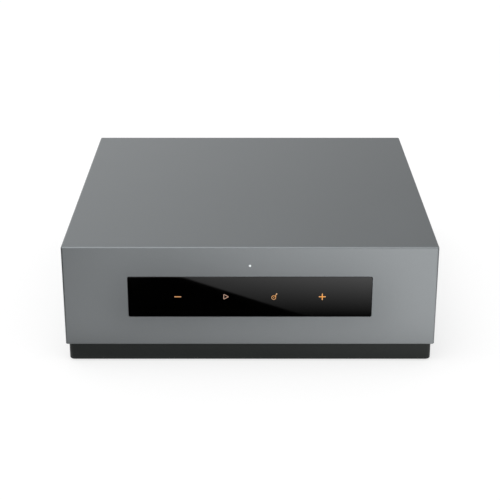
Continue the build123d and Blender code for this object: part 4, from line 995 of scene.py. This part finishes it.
@dataclass
class SignalSockets(Assembly):
    """Phono, optical, video, memory-stick and network sockets, and the reset button.

    A barrel's wall is rows of radius and place along Y. Each tongue has its x, z and thickness,
    where its contacts come out of the moulding, and their width. Those of the video tongue lie
    1 mm apart, ten above it and nine under it.
    """

    phono_seats: tuple = ((10.5, 0, 31), (10.5, 0, 45), (-3.5, 0, 31))
    barrel_radii: Pair = (3.5, 4.15)
    barrel_end: float = 102.4
    barrel_wall: tuple = (
        (3.5, 93.4), (4.15, 93.4), (4.15, 99.9), (4.03, 100.1), (4.03, 100.5), (4.15, 100.7)
    )
    video_tongue: tuple = (-39.5, 27.0, 1.6, 84.6, 0.45)
    video_counts: tuple = (10, 9)
    stick_tongue: tuple = (-56.0, 28.0, 1.85, 83.5, 1.0)
    stick_offsets: tuple = (-3.5, -1.0, 1.0, 3.5)
    contact_height: float = 0.08
    contact_end: float = 91.8
    nodes: tuple = (
        "line_in_insulator_left", "line_in_insulator_right", "sub_out_insulator", "optical_housing",
        "optical_shutter", "hdmi_shell", "hdmi_insert", "usb_shell", "usb_insert", "network_shield",
        "network_insert", "network_contacts", "reset_button", "reset_switch", "phono_housings",
    )

    def barrel(self) -> Surface:
        """Build one plated barrel: a thin tube with a rolled lip and a shallow ring behind it.

        Returns:
            The closed tube, with heights along Y.
        """
        bore, radius = self.barrel_radii
        middle, half = (radius + bore) / 2, (radius - bore) / 2
        bend = np.linspace(0, math.pi, 9)
        lip = zip(middle + half * np.cos(bend), self.barrel_end - half + half * np.sin(bend))
        return turned([*self.barrel_wall, *lip], around=48, hollow=True)

    def contacts(self, tongue: tuple, offsets: Iterable[float], facing: Facing) -> Surface:
        """Lay a row of flat contacts on one face of a tongue, each ending just behind its tip.

        Args:
            tongue: The tongue's sizes.
            offsets: Where each contact lies across the tongue.
            facing: Up for its upper face, and under for its lower one.

        Returns:
            The contacts.
        """
        x, z, thick, back, width = tongue
        path = np.linspace((0.0, 0.0), (0.0, self.contact_end - back), 12)
        strip = stroke(path, width, self.contact_height, square=True)
        face = z + thick / 2 * facing.value[2][2]
        return strip.repeated([(x + offset, back, face) for offset in offsets], facing)

    def build(self) -> None:
        """Dress the sockets, and build the barrels and the contacts."""
        for node in self.nodes:
            self.smooth(node)
        self.repeat(self.barrel(), self.phono_seats, Facing.REAR, "phono_barrels", "rolled")
        above, below = (np.arange(count) - (count - 1) / 2 for count in self.video_counts)
        rows = [
            self.contacts(self.video_tongue, above, Facing.UP),
            self.contacts(self.video_tongue, below, Facing.UNDER),
            self.contacts(self.stick_tongue, self.stick_offsets, Facing.UNDER),
        ]
        made = Surface.joined(rows).piece("socket_contacts")
        self.fit(made, "hdmi_insert", replaces=False, slot="gold_plate")


@dataclass
class Electronics(Assembly):
    """What the closed case hides: boards, heatsink, wound parts, leads and the touch board."""

    nodes: tuple = (
        "glass_tape", "icon_light_mask", "touch_board", "touch_board_screws", "touch_ribbon",
        "main_board", "power_board", "board_screws", "heatsink", "thermal_pad", "output_chokes",
        "capacitors", "power_transformer", "wireless_module", "antennas", "mains_leads",
        "speaker_leads", "supply_leads",
    )

    def build(self) -> None:
        """Leave the CAD nodes as they are and give each its slot's material."""
        for node in self.nodes:
            for place in frame["nodes"][node].material_slots:
                place.material = slot_material(SLOTS[node])
            report.info("%s: CAD node in %s", node, SLOTS[node])


# The studio


def seen(tree: Tree) -> Socket:
    """Give 1 for rays from the camera, from gloss and through glass, and 0 for the rest.

    Args:
        tree: The tree that needs it.

    Returns:
        The switch.
    """
    rays = add_node(tree, "LightPath")
    first = {0: rays["Is Camera Ray"], 1: rays["Is Glossy Ray"]}
    either = add_node(tree, "Math", first, operation="MAXIMUM")[0]
    both = {0: either, 1: rays["Is Transmission Ray"]}
    return add_node(tree, "Math", both, operation="MAXIMUM")[0]


@dataclass(frozen=True)
class Fade:
    """A light level that changes between two places along a direction, and is held past them.

    With t the way from the first place to the second, it is the first level plus t^power times the
    step to the second. The first level may be a fade of its own.
    """

    along: Triple
    places: Pair
    levels: tuple
    power: float = 1.0

    def level(self, tree: Tree, place: Socket) -> Socket:
        """Add the fade's nodes.

        Args:
            tree: The board's tree.
            place: Object coordinates, in metres.

        Returns:
            The level.
        """
        first, second = self.levels
        if isinstance(first, Fade):
            first = first.level(tree, place)
        way = add_node(tree, "VectorMath", {0: place, 1: self.along}, operation="DOT_PRODUCT")
        start, end = (at * MM for at in self.places)
        span = {"Value": way["Value"], "From Min": start, "From Max": end}
        share = {0: add_node(tree, "MapRange", span)[0], 1: self.power}
        curve = add_node(tree, "Math", share, operation="POWER")[0]
        step = {"Value": curve, "To Min": first, "To Max": second}
        return add_node(tree, "MapRange", step)[0]


@dataclass(frozen=True)
class Sheet:
    """A flat stage sheet, by its reach along X and Y and its height.

    Where it is upright, reach is along Z, and at is its place along Y.
    """

    name: str
    x: Pair
    reach: Pair
    at: float
    upright: bool = False

    def lay(self, material: Material) -> Piece:
        """Make the sheet.

        Args:
            material: What it is made of.

        Returns:
            The sheet.
        """
        (left, right), (near, far), at = self.x, self.reach, self.at
        flat = ((left, near), (right, near), (right, far), (left, far))
        corners = np.array([(a, at, b) if self.upright else (a, b, at) for a, b in flat])
        mesh = bpy.data.meshes.new(self.name)
        mesh.from_pydata((corners * MM).tolist(), [], [(0, 1, 2, 3)])
        mesh.materials.append(material)
        made = bpy.data.objects.new(self.name, mesh)
        bpy.context.scene.collection.objects.link(made)
        return made


@dataclass(frozen=True)
class Board(Sheet):
    """A glowing board that only gloss sees, as those round a studio table. Its fades multiply."""

    fades: tuple[Fade, ...] = ()
    colour: str = "#ffffff"

    def build(self) -> None:
        """Put up the board with its glow."""
        material, tree = blank_material(self.name)
        place = add_node(tree, "TexCoord")["Object"]
        level = self.fades[0].level(tree, place)
        for fade in self.fades[1:]:
            both = {0: level, 1: fade.level(tree, place)}
            level = add_node(tree, "Math", both, operation="MULTIPLY")[0]
        glow = add_node(tree, "Emission", {"Color": linear(self.colour), "Strength": level})
        add_node(tree, "OutputMaterial", {"Surface": glow[0]})
        made = self.lay(material)
        for ray in ("camera", "diffuse", "transmission", "volume_scatter", "shadow"):
            setattr(made, f"visible_{ray}", False)


RIGHT, BACK, UP = (1.0, 0.0, 0.0), (0.0, 1.0, 0.0), (0.0, 0.0, 1.0)
BOARDS = (
    # In front: brighter to the right and away, dark beside the plinth. It is dark past the object's
    # sides too, which draws a line down the shell's round corners.
    Board(
        "bounce_board", (-900, 900), (-1500, -97), 0.05, colour="#fffdfc",
        fades=(
            Fade(RIGHT, (-170, 190), (0.2, 2.24), power=0.48),
            Fade(BACK, (-97, -128), (Fade(RIGHT, (0, 150), (0.2, 0.58)), 1.0)),
            Fade(BACK, (-135, -380), (1.0, 1.55)),
            Fade(RIGHT, (-150, -125), (0.05, 1.0)),
            Fade(RIGHT, (165, 190), (1.0, 0.1)),
        ),
    ),
    # What the glass mirrors: black up to a slanting edge, where 0.773 x - y is 174.9 mm, and
    # brighter beyond it, away from the object and to the right.
    Board(
        "slanted_flag", (-76, 77), (-211, -146), 0.1,
        fades=(
            Fade(BACK, (-146, -215), (0.0, 1.0), power=1.3),
            Fade(RIGHT, (-60, 75), (0.55, 1.86)),
            Fade((0.773, -1.0, 0.0), (174.1, 175.7), (0.0, 1.0)),
        ),
    ),
    # Behind, mirrored softly by the top: brighter to the left and low.
    Board(
        "rear_board", (-1600, 1600), (0, 1500), 1500, upright=True,
        fades=(Fade(RIGHT, (-420, 420), (1.18, 0.62)), Fade(UP, (300, 800), (1.07, 0.83))),
    ),
    # High in front, for the light line along the front top edge.
    Board(
        "high_board", (-1200, 1200), (620, 2600), -1200, upright=True,
        fades=(Fade(UP, (620, 800), (1.0, 1.8)),),
    ),
)


@dataclass
class Studio:
    """White floor, one soft lamp, the boards that gloss mirrors, and the camera."""

    lens: float = 92.5
    sensor: float = 36.0
    clip: Pair = (0.01, 50.0)
    camera_at: Triple = (0.0, -692.7, 300.6)
    camera_pitch: float = 21.76
    ground: Sheet = Sheet("studio_floor", (-4500, 4500), (-4500, 4500), -0.05)
    floor_colour: str = "#a2a2a2"
    floor_lift: Pair = (0.66, 0.735)
    floor_reach: Pair = (500.0, 2600.0)
    ambient: float = 0.8
    lamp_at: Triple = (-300, -200, 1900)
    lamp_size: float = 1400
    lamp_watts: float = 12.0

    def surround(self) -> None:
        """Light from all round: white where it is seen, and a plain level elsewhere."""
        world = bpy.data.worlds.new("studio_surround")
        bpy.context.scene.world = world
        world.use_nodes = True
        tree = world.node_tree
        tree.nodes.clear()
        level = {"Value": seen(tree), "To Min": self.ambient, "To Max": 1.0}
        strength = add_node(tree, "MapRange", level)[0]
        light = {"Color": linear("#ffffff"), "Strength": strength}
        glow = add_node(tree, "Background", light)
        add_node(tree, "OutputWorld", {"Surface": glow[0]})

    def floor(self) -> None:
        """Lay the pale floor, which keeps the shadow and is lifted to white where it is seen.

        The lift grows with the distance from the middle, as the lamp's own light fades there.
        """
        material, tree = blank_material("pale_studio_floor")
        matt = add_node(tree, "BsdfDiffuse", {"Color": linear(self.floor_colour)})
        place = add_node(tree, "TexCoord")["Object"]
        away = add_node(tree, "VectorMath", {0: place}, operation="LENGTH")["Value"]
        span = {"Value": away, "To Min": self.floor_lift[0], "To Max": self.floor_lift[1]}
        span |= {"From Min": self.floor_reach[0] * MM, "From Max": self.floor_reach[1] * MM}
        lift = {0: seen(tree), 1: add_node(tree, "MapRange", span)[0]}
        strength = add_node(tree, "Math", lift, operation="MULTIPLY")[0]
        glow = add_node(tree, "Emission", {"Strength": strength})
        both = add_node(tree, "AddShader", {0: matt[0], 1: glow[0]})
        add_node(tree, "OutputMaterial", {"Surface": both[0]})
        self.ground.lay(material)

    def lamp(self) -> None:
        """Hang the square soft lamp, turned towards the object."""
        light = bpy.data.lights.new("overhead_softbox", "AREA")
        light.shape, light.size, light.energy = "SQUARE", self.lamp_size * MM, self.lamp_watts
        made = bpy.data.objects.new("overhead_softbox", light)
        made.location = np.array(self.lamp_at) * MM
        made.rotation_euler = (-Vector(self.lamp_at)).to_track_quat("-Z", "Y").to_euler()
        bpy.context.scene.collection.objects.link(made)

    def camera(self) -> None:
        """Set the camera where the photograph was taken from."""
        data = bpy.data.cameras.new("photograph_view")
        data.lens, data.sensor_width = self.lens, self.sensor
        data.clip_start, data.clip_end = self.clip
        made = bpy.data.objects.new("photograph_view", data)
        made.location = np.array(self.camera_at) * MM
        made.rotation_euler = (math.radians(90 - self.camera_pitch), 0, 0)
        bpy.context.scene.collection.objects.link(made)
        bpy.context.scene.camera = made

    def build(self) -> None:
        """Set up the stage."""
        self.surround()
        self.floor()
        for board in BOARDS:
            board.build()
        self.lamp()
        self.camera()
        bpy.context.scene.view_settings.view_transform = "Standard"


def main() -> None:
    """Build the sub-assemblies in order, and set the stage."""
    logging.basicConfig(level=logging.INFO, format="%(message)s")
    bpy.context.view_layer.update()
    for kind in (
        CaseShell, TouchStrip, Plinth, ConnectorPanel, SpeakerTerminals, SignalSockets, Electronics
    ):
        report.info("Sub-assembly %s", kind.__name__)
        kind().build()
    Studio().build()


if __name__ == "__main__":
    main()
